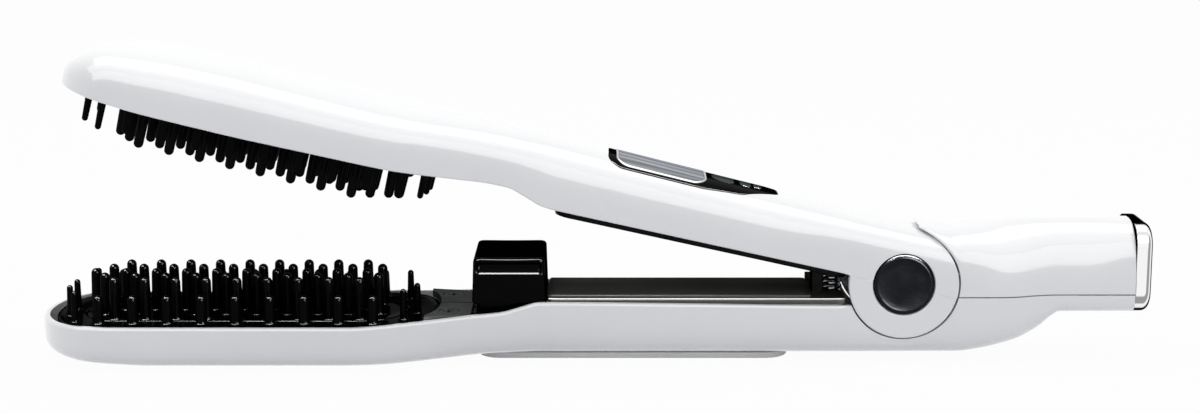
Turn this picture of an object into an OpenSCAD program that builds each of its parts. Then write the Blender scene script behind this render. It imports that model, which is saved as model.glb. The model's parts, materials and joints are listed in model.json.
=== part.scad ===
// Steam hair straightener brush: two hinged arms with interleaving pins,
// a lift-out water tank in the lower arm and a control panel on the upper arm.
// Millimetres. +X runs from the brush heads to the cord end, +Z is up.
// The origin is on the table, below the middle of the overall length.
// Arm outlines are worked out from the hinge axis: x is measured along the
// arm from the hinge (the heads lie at negative x), z is measured from it.

/* [Arms] */
// Distance from the hinge axis to the tip of each arm
arm_len = 254.3; // [245:0.1:270]
// How much shorter the upper arm is
tip_setback = 1.5; // [0:0.1:3]
// Distance from the hinge axis to the cord end
tail_len = 73.3; // [68:0.1:90]
// Height of the hinge axis above the table
hinge_z = 24.1; // [23.8:0.1:26]
// Angle between the arms at rest
open_angle = 12.5; // [8:0.5:14]
// Width of the brush heads
head_w = 50; // [46:0.5:54]
// Length of the brush heads up to the neck
head_len = 100.6; // [99:0.1:106]
// Length of the neck between head and handle
neck_len = 45; // [43:0.5:50]
// Width of the handles
handle_w = 34; // [34:0.5:38]
// Length of the rounded nose in plan
nose_len = 18; // [14:0.5:22]
// Wall of the moulded shells
wall = 1.8; // [1.4:0.1:2.2]

/* [Lower arm] */
// Depth of the lower handle rim below the hinge axis
handle_rim = 5.4; // [5:0.1:6]
// Depth of the lower head rim below the hinge axis
head_rim = 11.1; // [10.8:0.1:11.6]
// Height of the handle belly above the table
belly_lift = 1.8; // [1.5:0.1:2.4]
// Length of the bottom pad
pad_len = 92.2; // [70:0.1:96]
// Width of the bottom pad
pad_w = 18; // [14:0.5:20]

/* [Tail] */
// Width of the tail
tail_w = 27; // [26:0.1:29]
// Height of the tail above the hinge axis
tail_top = 16.9; // [16.4:0.1:17.8]
// Depth of the tail below the hinge axis
tail_bottom = 10.2; // [9.4:0.1:11]
// Depth of the seam below the hinge axis
seam_drop = 4; // [3:0.1:5]
// Length of the chrome end cap
cap_len = 5; // [4:0.1:6]
// Diameter of the hole for the cord
cord_hole_d = 7; // [6:0.1:8]

/* [Upper arm] */
// Height of the upper head rim above the hinge axis, arms closed
upper_head_rim = 1.85; // [1.7:0.05:2.1]
// Depth of the upper handle rim below the hinge axis, arms closed
upper_handle_rim = 0.6; // [0.5:0.1:0.9]
// Height of the crown over the hinge
crown_h = 15.2; // [14.8:0.1:15.8]
// Height of the crown over the head
head_crown_h = 18.9; // [18:0.1:20]

/* [Hinge] */
// Diameter of the round ears
ear_d = 32.2; // [31.8:0.1:32.8]
// Diameter of the black hinge caps
hinge_cap_d = 18; // [16:0.5:19]
// Diameter of the hinge pin
hinge_pin_d = 5; // [4:0.5:6]
// Thickness of each ear
ear_t = 3.2; // [2.8:0.1:3.4]

/* [Pins] */
// Diameter of a long pin at its foot
pin_d = 3.4; // [3:0.1:3.5]
// Height of the long pins
pin_h = 12.6; // [11:0.1:12.8]
// Distance between long pins along a row
pin_pitch = 9; // [8.6:0.05:9.2]
// Distance between the rows of long pins
row_gap = 6.2; // [5.6:0.1:6.3]
// Height of the short side pins
side_pin_h = 8.4; // [7:0.1:9]
// Diameter of the thin end pins
thin_pin_d = 2.2; // [1.8:0.1:2.4]

/* [Water tank] */
// Length of the tank along the arm
tank_len = 21.7; // [20:0.1:22]
// Width of the tank block
tank_w = 29; // [26:0.5:29]
// Height of the tank block above the handle rim
tank_h = 12.6; // [10:0.1:13]

/* [Panel] */
// Length of the display lens
lens_len = 27.5; // [24:0.5:28]
// Width of the display lens
lens_w = 20; // [16:0.5:21]
// Distance from the hinge axis to the display's front end
lens_from_hinge = 89.8; // [88:0.1:92]
// Travel of the push buttons
button_travel = 0.6; // [0.3:0.1:0.8]

/* [Hidden] */
$fn = 48;
EPS = 0.01;

// Fits
skin_gap = 0.2;        // between covers and the shells they sit in
split_gap = 0.4;       // between the two arms at the hinge
run_gap = 0.06;        // on radius, shafts and bushes
key_gap = 0.25;        // round each button
seat_gap = 0.1;        // between inner parts and what carries them

// Places along the arms, measured from the hinge axis
tip_x = -arm_len;
nose_x = tip_x + nose_len;
neck_x = tip_x + head_len;
handle_x = neck_x + neck_len;
tail_x = tail_len - cap_len;
overall = arm_len + tail_len;
hinge_x = overall / 2 - tail_len;

// Levels, measured from the hinge axis
floor_z = -hinge_z;
belly_z = floor_z + belly_lift;
ear_r = ear_d / 2;
ear_out = handle_w / 2 - 0.1;
ear_in = ear_out - ear_t;
cheek_out = ear_in - 0.5;
half_handle = handle_w / 2;
half_head = head_w / 2;
half_tail = tail_w / 2;

// Smooth curve through a table of [x, value] rows, without overshoot
function seg_of(x, t, i = 0) = (i >= len(t) - 2 || x < t[i + 1][0]) ? i : seg_of(x, t, i + 1);
function secant(t, i) = (t[i + 1][1] - t[i][1]) / (t[i + 1][0] - t[i][0]);
function slope_at(t, i) =
    (i == 0 || i == len(t) - 1) ? 0
    : secant(t, i - 1) * secant(t, i) <= 0 ? 0
    : 2 * secant(t, i - 1) * secant(t, i) / (secant(t, i - 1) + secant(t, i));
function curve(x, t) =
    let (n = len(t), c = min(max(x, t[0][0]), t[n - 1][0]), i = seg_of(c, t),
        h = t[i + 1][0] - t[i][0], u = (c - t[i][0]) / h)
    t[i][1] * (1 + 2 * u) * (1 - u) * (1 - u) + h * slope_at(t, i) * u * (1 - u) * (1 - u)
    + t[i + 1][1] * u * u * (3 - 2 * u) + h * slope_at(t, i + 1) * u * u * (u - 1);

// Outlines shared by both arms: half width over x
neck_widths = [[neck_x - 8, half_head], [neck_x + 2, half_head - 0.6],
    [neck_x + neck_len * 0.2, half_head - 2.3], [neck_x + neck_len * 0.44, half_handle + 3],
    [neck_x + neck_len * 0.7, half_handle + 1.2], [handle_x + 2, half_handle],
    [tail_x - 41, half_handle], [tail_x - 35, half_handle - 0.7], [tail_x - 29, half_tail + 1],
    [tail_x - 23, half_tail]];
function half_w(x) = curve(x, neck_widths);

// Lower arm: rim, belly and squareness of the section over x
lower_rims = [[tip_x + 8, -head_rim + 0.35], [tip_x + 17, -head_rim + 0.3],
    [tip_x + 24, -head_rim], [neck_x - 8, -head_rim], [neck_x + 3, -head_rim + 0.55],
    [neck_x + 18, -head_rim + 1.4], [neck_x + 29, -head_rim + 2.3],
    [handle_x - 9, -head_rim + 2.85], [handle_x - 3.3, -handle_rim - 1.4],
    [handle_x + 2.5, -handle_rim], [-60, -handle_rim - 0.4], [-ear_r, -handle_rim - 0.9],
    [ear_r - 4, -seam_drop]];
lower_bellies = [[tip_x, floor_z + 2.2], [tip_x + 9, floor_z + 1.8], [tip_x + 15, floor_z + 1.3],
    [tip_x + 21, floor_z + 0.7], [tip_x + 27, floor_z + 0.3], [tip_x + 34, floor_z],
    [neck_x - 12, floor_z], [neck_x + 6, floor_z + 0.4], [neck_x + 18, floor_z + 0.95],
    [neck_x + 34, belly_z], [tail_x - 52, belly_z], [tail_x - 45, belly_z + 0.9],
    [tail_x - 39.5, belly_z + 2.2], [tail_x - 33.5, belly_z + 4],
    [tail_x - 27.6, belly_z + 7.2], [tail_x - 24.5, -tail_bottom - 2.1],
    [tail_x - 21.5, -tail_bottom]];
lower_squares = [[neck_x, 6], [handle_x, 4], [-30, 3.8], [ear_r, 3.8], [tail_x, 3.4]];

// Upper arm, arms closed: rim, crown and squareness of the section over x
upper_rims = [[tip_x, upper_head_rim + 2.4], [tip_x + 7, upper_head_rim + 2.3],
    [tip_x + 14, upper_head_rim + 1.9], [tip_x + 20, upper_head_rim + 1.4],
    [tip_x + 27, upper_head_rim + 0.8], [tip_x + 45, upper_head_rim + 0.25],
    [tip_x + 60, upper_head_rim], [neck_x - 1, upper_head_rim], [neck_x + 8, upper_head_rim + 0.25],
    [neck_x + 19, upper_head_rim + 0.8], [neck_x + 30, upper_head_rim + 1.45],
    [handle_x - 10.3, upper_head_rim + 1.35], [handle_x - 5, upper_head_rim - 0.2],
    [handle_x + 1, -upper_handle_rim + 0.3], [handle_x + 5, -upper_handle_rim]];
upper_crowns = [[tip_x, head_crown_h - 3], [tip_x + 14, head_crown_h - 0.7],
    [tip_x + 25, head_crown_h + 0.1], [tip_x + 37, head_crown_h + 0.7],
    [tip_x + 50, head_crown_h + 0.6], [neck_x - 33, head_crown_h + 0.1],
    [neck_x, head_crown_h - 0.6], [neck_x + 28, head_crown_h - 0.4], [-96, crown_h + 2.4],
    [-65, crown_h + 1.4], [-35, crown_h + 0.6], [0, crown_h]];
upper_squares = [[neck_x, 3.6], [handle_x, 3], [-40, 3.1], [-ear_r, 4]];
// Rear cover: crown over x
rear_crowns = [[6, tail_top - 1], [9, tail_top - 1.3], [14.5, tail_top - 2.05], [26, tail_top - 1.2],
    [32, tail_top - 0.3], [40, tail_top]];

// Stations of the lofts
NOSE_STEPS = [4, 20, 38, 56, 74];
PROFILE = 20;
arm_stations = [nose_x, tip_x + 26, tip_x + 36, tip_x + 60, neck_x - 12, neck_x - 4, neck_x + 3,
    neck_x + 9, neck_x + 16, neck_x + 23, neck_x + 30, handle_x - 10, handle_x - 6.5,
    handle_x - 3.5, handle_x - 0.5, handle_x + 3, handle_x + 12, -80, -60, -40, -28, -ear_r, 0];
tail_stations = [5, ear_r - 4, ear_r, tail_x - 46, tail_x - 41, tail_x - 37, tail_x - 33,
    tail_x - 30, tail_x - 27, tail_x - 24, tail_x - 21, tail_x - 12, tail_x];

// One side-to-side profile: half width w, rim level r, apex level b, squareness q
function squared(v, q) = sign(v) * pow(abs(v), 2 / q);
function profile(x, w, r, b, q) =
    [for (i = [0 : PROFILE]) let (a = 180 * i / PROFILE)
        [x, w * squared(cos(a), q), r + (b - r) * squared(sin(a), q)]];

// Lofted open shell. outer and inner hold one profile per station; the first
// station is closed by a small end face, the last one is left open.
function strip(a, b, n) = [for (i = [0 : n - 1]) for (f = [[a + i, b + i, b + i + 1],
    [a + i, b + i + 1, a + i + 1]]) f];
function flip(faces) = [for (f = faces) [f[2], f[1], f[0]]];
module open_shell(outer, inner, nose_closed) {
    n = PROFILE;
    m = len(outer);
    p = n + 1;
    base = m * p;
    skins = [for (j = [0 : m - 2]) for (f = strip(j * p, (j + 1) * p, n)) f];
    linings = [for (j = [0 : m - 2]) for (f = strip(base + j * p, base + (j + 1) * p, n)) f];
    left_rim = [for (j = [0 : m - 2]) for (f = [[j * p, base + (j + 1) * p, (j + 1) * p],
        [j * p, base + j * p, base + (j + 1) * p]]) f];
    right_rim = [for (j = [0 : m - 2]) for (f = [[j * p + n, (j + 1) * p + n,
        base + (j + 1) * p + n], [j * p + n, base + (j + 1) * p + n, base + j * p + n]]) f];
    rear = strip((m - 1) * p, base + (m - 1) * p, n);
    front = nose_closed
        ? concat([[for (i = [0 : n]) i], [for (i = [n : -1 : 0]) base + i]],
            [[0, n, base + n], [0, base + n, base]])
        : flip(strip(0, base, n));
    polyhedron(concat([for (o = outer) each o], [for (v = inner) each v]),
        concat(skins, flip(linings), left_rim, right_rim, rear, front), convexity = 6);
}
// Lofted closed body from one profile per station
module closed_body(rings) {
    n = PROFILE;
    m = len(rings);
    p = n + 1;
    skins = [for (j = [0 : m - 2]) for (f = strip(j * p, (j + 1) * p, n)) f];
    deck = [for (j = [0 : m - 2]) for (f = [[j * p, j * p + n, (j + 1) * p + n],
        [j * p, (j + 1) * p + n, (j + 1) * p]]) f];
    ends = [[for (i = [0 : n]) i], [for (i = [n : -1 : 0]) (m - 1) * p + i]];
    polyhedron([for (r = rings) each r], concat(skins, deck, ends), convexity = 4);
}

// Nose of an arm: half ellipse in plan, and a section that deepens with it.
// Each nose has its depth's share at the tip, and the power it grows with.
LOWER_NOSE = [0.5, 0.8];
UPPER_NOSE = [0.16, 1.08];
function nose_ring(a, t, len, nose, r, b, q) =
    profile(nose_x - (len - t) * cos(a), (half_head - t) * sin(a), r,
        r + (b - r) * (nose[0] + (1 - nose[0]) * pow(sin(a), nose[1])), q);

function lower_ring(x, t) = profile(x, half_w(x) - t, curve(x, lower_rims),
    curve(x, lower_bellies) + t, curve(x, lower_squares));
function lower_nose(t) = [for (a = NOSE_STEPS) let (x = nose_x - nose_len * cos(a))
    nose_ring(a, t, nose_len, LOWER_NOSE, curve(x, lower_rims), curve(x, lower_bellies) + t,
        curve(x, lower_squares))];
function lower_rings(t) = concat(lower_nose(t),
    [for (x = concat(arm_stations, tail_stations)) lower_ring(x, t)]);

function upper_ring(x, t) = profile(x, half_w(x) - t, curve(x, upper_rims),
    curve(x, upper_crowns) - t, curve(x, upper_squares));
function upper_nose(t) = [for (a = NOSE_STEPS) let (x = nose_x - nose_len * cos(a))
    nose_ring(a, t, nose_len - tip_setback, UPPER_NOSE, curve(x, upper_rims), curve(x, upper_crowns) - t,
        curve(x, upper_squares))];
function upper_rings(t) = concat(upper_nose(t),
    [for (x = concat(arm_stations, [ear_r + 1])) upper_ring(x, t)]);

function rear_ring(x, t) = profile(x, half_w(x) - t, -seam_drop, curve(x, rear_crowns) - t, 3.6);
rear_stations = concat([2], [for (x = tail_stations) if (x > 5) x]);

// Parts are drawn with the hinge axis at the origin, and placed by these
module on_lower() {
    translate([hinge_x, 0, hinge_z]) children();
}
module on_upper() {
    on_lower() rotate([0, open_angle, 0]) children();
}
module both_sides() {
    children();
    mirror([0, 1, 0]) children();
}
module across(r, from, to) {
    translate([0, from, 0]) rotate([-90, 0, 0]) cylinder(r = r, h = to - from);
}
module ring_across(r, hole_r, from, to) {
    difference() {
        across(r, from, to);
        across(hole_r, from - EPS, to + EPS);
    }
}
// Box by two corners
module block(a, b) {
    translate(a) cube(b - a);
}
// Plate with round corners in plan, by two corners
module round_plate(a, b, r) {
    translate([0, 0, a[2]]) linear_extrude(b[2] - a[2]) {
        translate([a[0] + r, a[1]]) square([b[0] - a[0] - 2 * r, b[1] - a[1]]);
        translate([a[0], a[1] + r]) square([b[0] - a[0], b[1] - a[1] - 2 * r]);
        for (x = [a[0] + r, b[0] - r]) for (y = [a[1] + r, b[1] - r])
            translate([x, y]) circle(r, $fn = 32);
    }
}

// ---- lower arm shells
ear_cut_r = ear_r + split_gap;
module lower_shell() color("white") on_lower() difference() {
    open_shell(lower_rings(0), lower_rings(wall), true);
    both_sides() across(ear_cut_r, cheek_out, half_handle + 5);
    translate([tail_screw_x, 0, -tail_bottom - 1]) cylinder(d = screw_d + 0.6, h = 4);
    translate([tail_screw_x, 0, -tail_bottom - 1]) cylinder(d = SCREW_HEAD_D + 0.4, h = 2.2);
}
module rear_cover() color("white") on_lower() difference() {
    union() {
        open_shell([for (x = rear_stations) rear_ring(x, 0)],
            [for (x = rear_stations) rear_ring(x, wall)], false);
        block([tail_screw_x - 3.5, -half_tail + wall / 2, -seam_drop + 0.1],
            [tail_screw_x + 3.5, half_tail - wall / 2, -seam_drop + 2.8]);
        translate([tail_screw_x, 0, -tail_bottom + wall + 0.2]) cylinder(d = 7, h = 6);
    }
    across(ear_cut_r, -half_handle - 5, half_handle + 5);
    translate([tail_screw_x, 0, -tail_bottom - 1]) cylinder(d = screw_d + 0.1, h = 8);
}

// ---- cord end
inlet_z = (tail_top - tail_bottom) / 2;
SWIVEL_WALL = 2.9;
swivel_r = cord_hole_d / 2 + SWIVEL_WALL;
tail_h = tail_top + tail_bottom;
CAP_CORNER = 7;
module tail_slice(x, inset) {
    translate([x, 0, inlet_z]) rotate([0, 90, 0]) linear_extrude(EPS) hull()
        for (y = [-1, 1]) for (z = [-1, 1])
            translate([z * (tail_h / 2 - CAP_CORNER), y * (half_tail - CAP_CORNER)])
                circle(CAP_CORNER - inset, $fn = 32);
}
module end_cap() color("silver") on_lower() difference() {
    union() {
        hull() {
            tail_slice(tail_x + seat_gap, 0.3);
            tail_slice(tail_x + cap_len * 0.72, 0.3);
            tail_slice(tail_x + cap_len * 0.92, 0.9);
            tail_slice(tail_x + cap_len - EPS, 1.7);
        }
        translate([tail_x - cap_len, 0, inlet_z]) rotate([0, 90, 0])
            cylinder(r = swivel_r + 2, h = cap_len + 1);
    }
    translate([tail_x - cap_len - 1, 0, inlet_z]) rotate([0, 90, 0])
        cylinder(r = swivel_r + run_gap, h = 2 * cap_len + 2);
}
swivel_len = 2 * cap_len - 0.4;
module cord_swivel() color("dimgray") on_lower()
    translate([tail_x - cap_len - 0.1, 0, inlet_z]) rotate([0, 90, 0]) difference() {
        union() {
            cylinder(r = swivel_r, h = swivel_len);
            translate([0, 0, -2]) cylinder(r = swivel_r + 1, h = 2 - seat_gap + 0.1);
        }
        translate([0, 0, -3]) cylinder(d = cord_hole_d, h = swivel_len + 4);
    }
module swivel_clip() color("silver") on_lower()
    translate([tail_x - cap_len - 3.2, 0, inlet_z]) rotate([0, 90, 0]) difference() {
        cylinder(r = swivel_r + 2, h = 1);
        translate([0, 0, -EPS]) cylinder(r = swivel_r - 1, h = 1 + 2 * EPS);
    }

// ---- bottom pad
pad_x = handle_x - 16.3;
module bottom_pad() color("white") on_lower() difference() {
    hull() {
        round_plate([pad_x, -pad_w / 2, belly_z - 0.5], [pad_x + pad_len, pad_w / 2, belly_z], 6);
        round_plate([pad_x + 1.2, -pad_w / 2 + 2, floor_z],
            [pad_x + pad_len - 1.2, pad_w / 2 - 2, belly_z - 0.6], 5);
    }
    for (x = [pad_x + 8, pad_x + pad_len - 8]) translate([x, 0, floor_z - EPS])
        cylinder(d = 6, h = 0.6);
    // clear of the belly where it still curves down to its flat
    block([pad_x - 1, -pad_w / 2 - 1, belly_z - 0.2], [pad_x + 6.6, pad_w / 2 + 1, belly_z + 1]);
}

// ---- brush heads
PLATE_T = 2;
FRAME_IN_LEN = 7.5;
frame_from = tip_x + 4;
frame_to = neck_x + 17.2;
insert_from = tip_x + 12.2;
insert_to = neck_x + 7.5;
half_insert = half_head - 10.2;
half_frame = half_head - wall - skin_gap;
rows = [for (k = [-2 : 2]) k * row_gap];

// Long pin: tapered shaft with a ball tip
PIN_TAPER = 0.25;
module long_pin(h) {
    tip_r = pin_d / 2 - PIN_TAPER;
    cylinder(r1 = pin_d / 2, r2 = tip_r, h = h - tip_r, $fn = 24);
    translate([0, 0, h - tip_r]) sphere(r = tip_r, $fn = 24);
    cylinder(r1 = pin_d / 2 + 0.6, r2 = pin_d / 2, h = 0.8, $fn = 24);
}
module thin_pin(h) {
    r = thin_pin_d / 2;
    cylinder(r1 = r, r2 = r - 0.2, h = h - r + 0.2, $fn = 20);
    translate([0, 0, h - r + 0.2]) sphere(r = r - 0.2, $fn = 20);
}
// Insert outline: straight sides and elliptic ends, as plan points
function end_arc(cx, rx, ry, from, to) = [for (k = [0 : 12]) let (a = from + (to - from) * k / 12)
    [cx + rx * cos(a), ry * sin(a)]];
module insert_plan(grow) {
    polygon(concat(end_arc(insert_to - 13, 13 + grow, half_insert + grow, -90, 90),
        end_arc(insert_from + 11, 11 + grow, half_insert + grow, 90, 270)));
}
module frame_plan() {
    polygon(concat(
        [for (x = [nose_x, neck_x - 9, neck_x - 3, neck_x + 2, neck_x + 7])
            [x, -(half_w(x) - wall - skin_gap)]],
        end_arc(frame_to - 8, 8, half_w(frame_to - 8) - wall - skin_gap - 1.5, -80, 80),
        [for (x = [neck_x + 7, neck_x + 2, neck_x - 3, neck_x - 9]) [x, half_w(x) - wall - skin_gap]],
        end_arc(nose_x, nose_x - frame_from, half_frame, 90, 270)));
}
// Steam holes between the pin rows
module steam_holes() {
    for (y = [-row_gap / 2, row_gap / 2]) for (k = [0 : 5])
        translate([insert_from + 26 + k * 2 * pin_pitch * 0.75, y * 3, -PLATE_T - 1])
            cylinder(d = 1.2, h = PLATE_T + 2, $fn = 16);
}
// Rows of long pins: first pin, count, row offset
function row_first(k) = insert_from + 2.8 + 4 * abs(k);
module pin_field(shift, counts) {
    for (k = [-2 : 2]) for (i = [0 : counts[abs(k)] - 1])
        translate([row_first(k) + shift + i * pin_pitch, k * row_gap, -EPS]) long_pin(pin_h);
}
SIDE_PINS = 9;
side_pitch = 10;
side_first = tip_x + 19.3;
THIN_PIN_H = 9.2;
side_row = half_head - 7;
// Frame with short pins at its sides; thin pins stand at both ends
module brush_frame(shift, thin) {
    difference() {
        translate([0, 0, -PLATE_T]) linear_extrude(PLATE_T) frame_plan();
        translate([0, 0, -PLATE_T - 1]) linear_extrude(PLATE_T + 2) insert_plan(skin_gap);
    }
    for (s = [-1, 1]) for (i = [0 : SIDE_PINS - 1])
        translate([side_first + shift + i * side_pitch, s * side_row, -EPS])
            long_pin(side_pin_h);
    for (p = thin) translate([p[0], p[1], -EPS]) thin_pin(THIN_PIN_H);
}
module heater_plate(shift, counts) {
    difference() {
        union() {
            translate([0, 0, -PLATE_T]) linear_extrude(PLATE_T) insert_plan(0);
            pin_field(shift, counts);
        }
        steam_holes();
    }
}
head_level = -head_rim - 0.15;
// Thin pins, as plan points
lower_thin = [[tip_x + 12, -16], [tip_x + 8.9, -8], [tip_x + 9.2, 0], [tip_x + 12, 16],
    [neck_x + 7.3, -13], [neck_x + 10.8, -5], [neck_x + 7.3, 13]];
upper_thin = [for (s = [-1, 1]) each [[tip_x + 11.3, s * 9.5], [tip_x + 17, s * 17.5]],
    [neck_x + 10.4, -8.2], [neck_x + 11.6, 0], [neck_x + 12.1, 8.2]];
LOWER_ROWS = [10, 10, 9];
UPPER_ROWS = [10, 9, 8];
module lower_brush_frame() color("black") on_lower() translate([0, 0, head_level])
    brush_frame(0, lower_thin);
module lower_heater_plate() color("dimgray") on_lower() translate([0, 0, head_level])
    heater_plate(0, LOWER_ROWS);

// ---- neck plate between head and tank
neck_level = head_level + 2.1;
tank_x = handle_x - 17.5;
tank_hole_x = tank_x - 0.4;
tank_hole_end = tank_x + tank_len + 0.4;
screw_d = 3;
SCREW_HEAD_D = 6;
tail_screw_x = tail_x - 12;
neck_screw_x = frame_to + 3.3;
function neck_half(x) = half_w(x) - wall - skin_gap - 0.3;
module neck_plate() color("black") on_lower() translate([0, 0, neck_level]) difference() {
    translate([0, 0, -PLATE_T]) linear_extrude(PLATE_T) polygon(concat(
        [for (x = [frame_to - 3.5, frame_to, frame_to + 4, tank_hole_x]) [x, -neck_half(x) + 0.4]],
        [for (x = [tank_hole_x, frame_to + 4, frame_to, frame_to - 3.5]) [x, neck_half(x) - 0.4]]));
    translate([0, 0, -PLATE_T - 1]) linear_extrude(PLATE_T + 2)
        polygon(end_arc(frame_to - 8, 8.3, half_w(frame_to - 8) - wall - 1.2, -85, 85));
    for (s = [-1, 1]) translate([neck_screw_x, s * 11, 0]) {
        translate([0, 0, -1.2]) cylinder(d = SCREW_HEAD_D + 0.4, h = 3);
        translate([0, 0, -4]) cylinder(d = screw_d + 0.2, h = 6);
    }
    block([frame_to + 0.6, -0.5, -0.6], [tank_hole_x + 1, 0.5, 1]);
}
// Countersunk screw standing with its head's top at the origin
module screw(len) {
    difference() {
        union() {
            translate([0, 0, -1.1]) cylinder(d = SCREW_HEAD_D, h = 1.1, $fn = 32);
            translate([0, 0, -len]) cylinder(d = screw_d, h = len, $fn = 24);
        }
        for (a = [0, 90]) rotate([0, 0, a]) block([-1.8, -0.4, -0.7], [1.8, 0.4, 1]);
    }
}
module neck_screws() color("silver") on_lower()
    for (s = [-1, 1]) translate([neck_screw_x, s * 11, neck_level - 0.05]) screw(7.5);

// ---- lower handle cover
cover_proud = 1.25;
cover_z = -handle_rim + cover_proud;
cover_from = tank_hole_end + 0.2;
HINGE_POCKET_R = 11.6;
cover_to = -HINGE_POCKET_R - 0.4;
wide_to = -ear_r - split_gap - 0.1;
cover_half = 12.1;
trim_half = half_handle - wall - skin_gap;
spring_x = -19.15;
SPRING_D = 5.6;
cup_r = SPRING_D / 2 + 0.6;
post_x = -25.6;
POST_T = 2.9;
slab_to = post_x - 0.9;
post_w = 8;
handle_screw_x = -36.5;
module lower_handle_cover() color("dimgray") on_lower() difference() {
    union() {
        round_plate([cover_from, -cover_half, -handle_rim - 0.8], [slab_to, cover_half, cover_z], 1.5);
        round_plate([cover_from, -trim_half, -handle_rim - 2.2],
            [wide_to, trim_half, -handle_rim - 0.8], 1.5);
        block([wide_to - 2, -cover_half, -handle_rim - 2.2],
            [cover_to, cover_half, -handle_rim - 0.8]);
    }
    translate([handle_screw_x, 0, cover_z - 1.4]) cylinder(d = 6.8, h = 3);
    translate([handle_screw_x, 0, cover_z - 6]) cylinder(d = screw_d + 0.2, h = 8);
    translate([cover_from + 14, 0, cover_z - 0.8]) cylinder(d = 1.6, h = 2, $fn = 24);
    translate([spring_x, 0, cover_z - 6]) cylinder(r = cup_r + seat_gap, h = 8);
    block([post_x - seat_gap, -post_w / 2 - seat_gap, cover_z - 6],
        [post_x + POST_T + seat_gap, post_w / 2 + seat_gap, cover_z + 2]);
}
// Bright strip round the foot of the raised cover
module lower_trim() color("silver") on_lower() difference() {
    round_plate([cover_from + 0.1, -trim_half + 0.3, -handle_rim - 0.8],
        [wide_to - 0.1, trim_half - 0.3, -handle_rim + 0.4], 1.5);
    round_plate([cover_from - 2, -cover_half - 0.1, -handle_rim - 2],
        [cover_to + 2, cover_half + 0.1, -handle_rim + 2], 1.5);
}
module handle_screw() color("silver") on_lower()
    translate([handle_screw_x, 0, cover_z - 0.25]) screw(9);

// ---- water tank, lifted straight up out of its well
tank_top = -handle_rim + tank_h;
tank_base = belly_z + wall + 3.4;
half_tank = tank_w / 2;
TANK_TAPER = 0.4;
module water_tank() color("black") on_lower() difference() {
    union() {
        hull() {
            round_plate([tank_x, -half_tank, -handle_rim - 0.4],
                [tank_x + tank_len, half_tank, -handle_rim + 1], 1.2);
            round_plate([tank_x + TANK_TAPER, -half_tank + TANK_TAPER, tank_top - 2],
                [tank_x + tank_len - TANK_TAPER, half_tank - TANK_TAPER, tank_top - 0.9], 1.4);
            round_plate([tank_x + TANK_TAPER + 0.8, -half_tank + TANK_TAPER + 0.8, tank_top - 0.8],
                [tank_x + tank_len - TANK_TAPER - 0.8, half_tank - TANK_TAPER - 0.8, tank_top], 1.4);
        }
        round_plate([tank_x + 1, -tank_well_half, tank_base],
            [tank_x + tank_len - 1, tank_well_half, -handle_rim - 0.3], 2);
    }
    round_plate([tank_x + 2.6, -tank_well_half + 1.6, tank_base + 1.6],
        [tank_x + tank_len - 2.6, tank_well_half - 1.6, tank_top - 2.5], 2);
    translate([tank_x + tank_len / 2, 0, tank_base - 1]) cylinder(d = 6, h = 4);
    both_sides() block([tank_x + 2.4, half_tank - 0.9, -handle_rim + 2],
        [tank_x + tank_len - 2.4, half_tank + 2, -handle_rim + 6.6]);
    translate([tank_x + tank_len + 1, 0, 0]) rotate([0, -90, 0]) cylinder(d = 7, h = 4.2);
}
tank_well_half = 10.8;
// Filler plug in the tank's hinge-side face, and the seal under its outlet
module tank_plug() color("gray") on_lower()
    translate([tank_x + tank_len - TANK_TAPER - 0.3, 0, 0]) rotate([0, -90, 0])
        cylinder(d = 6.8, h = 2.2);
module tank_seal() color("gray") on_lower()
    translate([tank_x + tank_len / 2, 0, tank_base - 1.9]) difference() {
        union() {
            cylinder(d = 9, h = 1.8);
            cylinder(d = 5.8, h = 4);
        }
        translate([0, 0, -1]) cylinder(d = 2.4, h = 6);
    }

// ---- steam and heat, below the lower plate
plate_under = head_level - PLATE_T;
HEATER_T = 3;
module heater_bars(from, to, under, dir) {
    for (s = [-1, 1]) block([from, s * 9 - 4, dir > 0 ? under : under - HEATER_T],
        [to, s * 9 + 4, dir > 0 ? under + HEATER_T : under]);
}
GEN_LEN = 36;
GEN_HALF = 13;
GEN_T = 5.6;
GEN_REST = 16;
gen_from = insert_to - GEN_LEN - GEN_REST;
module lower_heaters() color("tan") on_lower()
    heater_bars(insert_from + 14, gen_from - 2, plate_under - seat_gap, -1);
module steam_generator() color("silver") on_lower() difference() {
    union() {
        round_plate([gen_from, -GEN_HALF, plate_under - GEN_T],
            [gen_from + GEN_LEN, GEN_HALF, plate_under - seat_gap], 3);
        translate([gen_from + GEN_LEN - 1, 0, plate_under - 3.2]) rotate([0, 90, 0]) cylinder(d = 4, h = 5);
    }
    translate([gen_from + GEN_LEN - 6, 0, plate_under - 3.2]) rotate([0, 90, 0]) cylinder(d = 1.6, h = 12);
}
module thermostat() color("silver") on_lower()
    translate([insert_from + 26, 0, plate_under - seat_gap - 4]) {
        cylinder(d = 9, h = 4);
        translate([0, 0, -1]) cylinder(d = 6.4, h = 1.5);
    }
PUMP_D = 11;
pump_from = cover_from + 9;
pump_z = belly_z + wall + PUMP_D / 2 + 0.3;
module water_pump() color("gray") on_lower() translate([pump_from, 0, pump_z]) rotate([0, 90, 0]) {
    cylinder(d = PUMP_D, h = 26);
    for (y = [-3, 3]) translate([0, y, -3]) cylinder(d = 2, h = 4);
}
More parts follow.
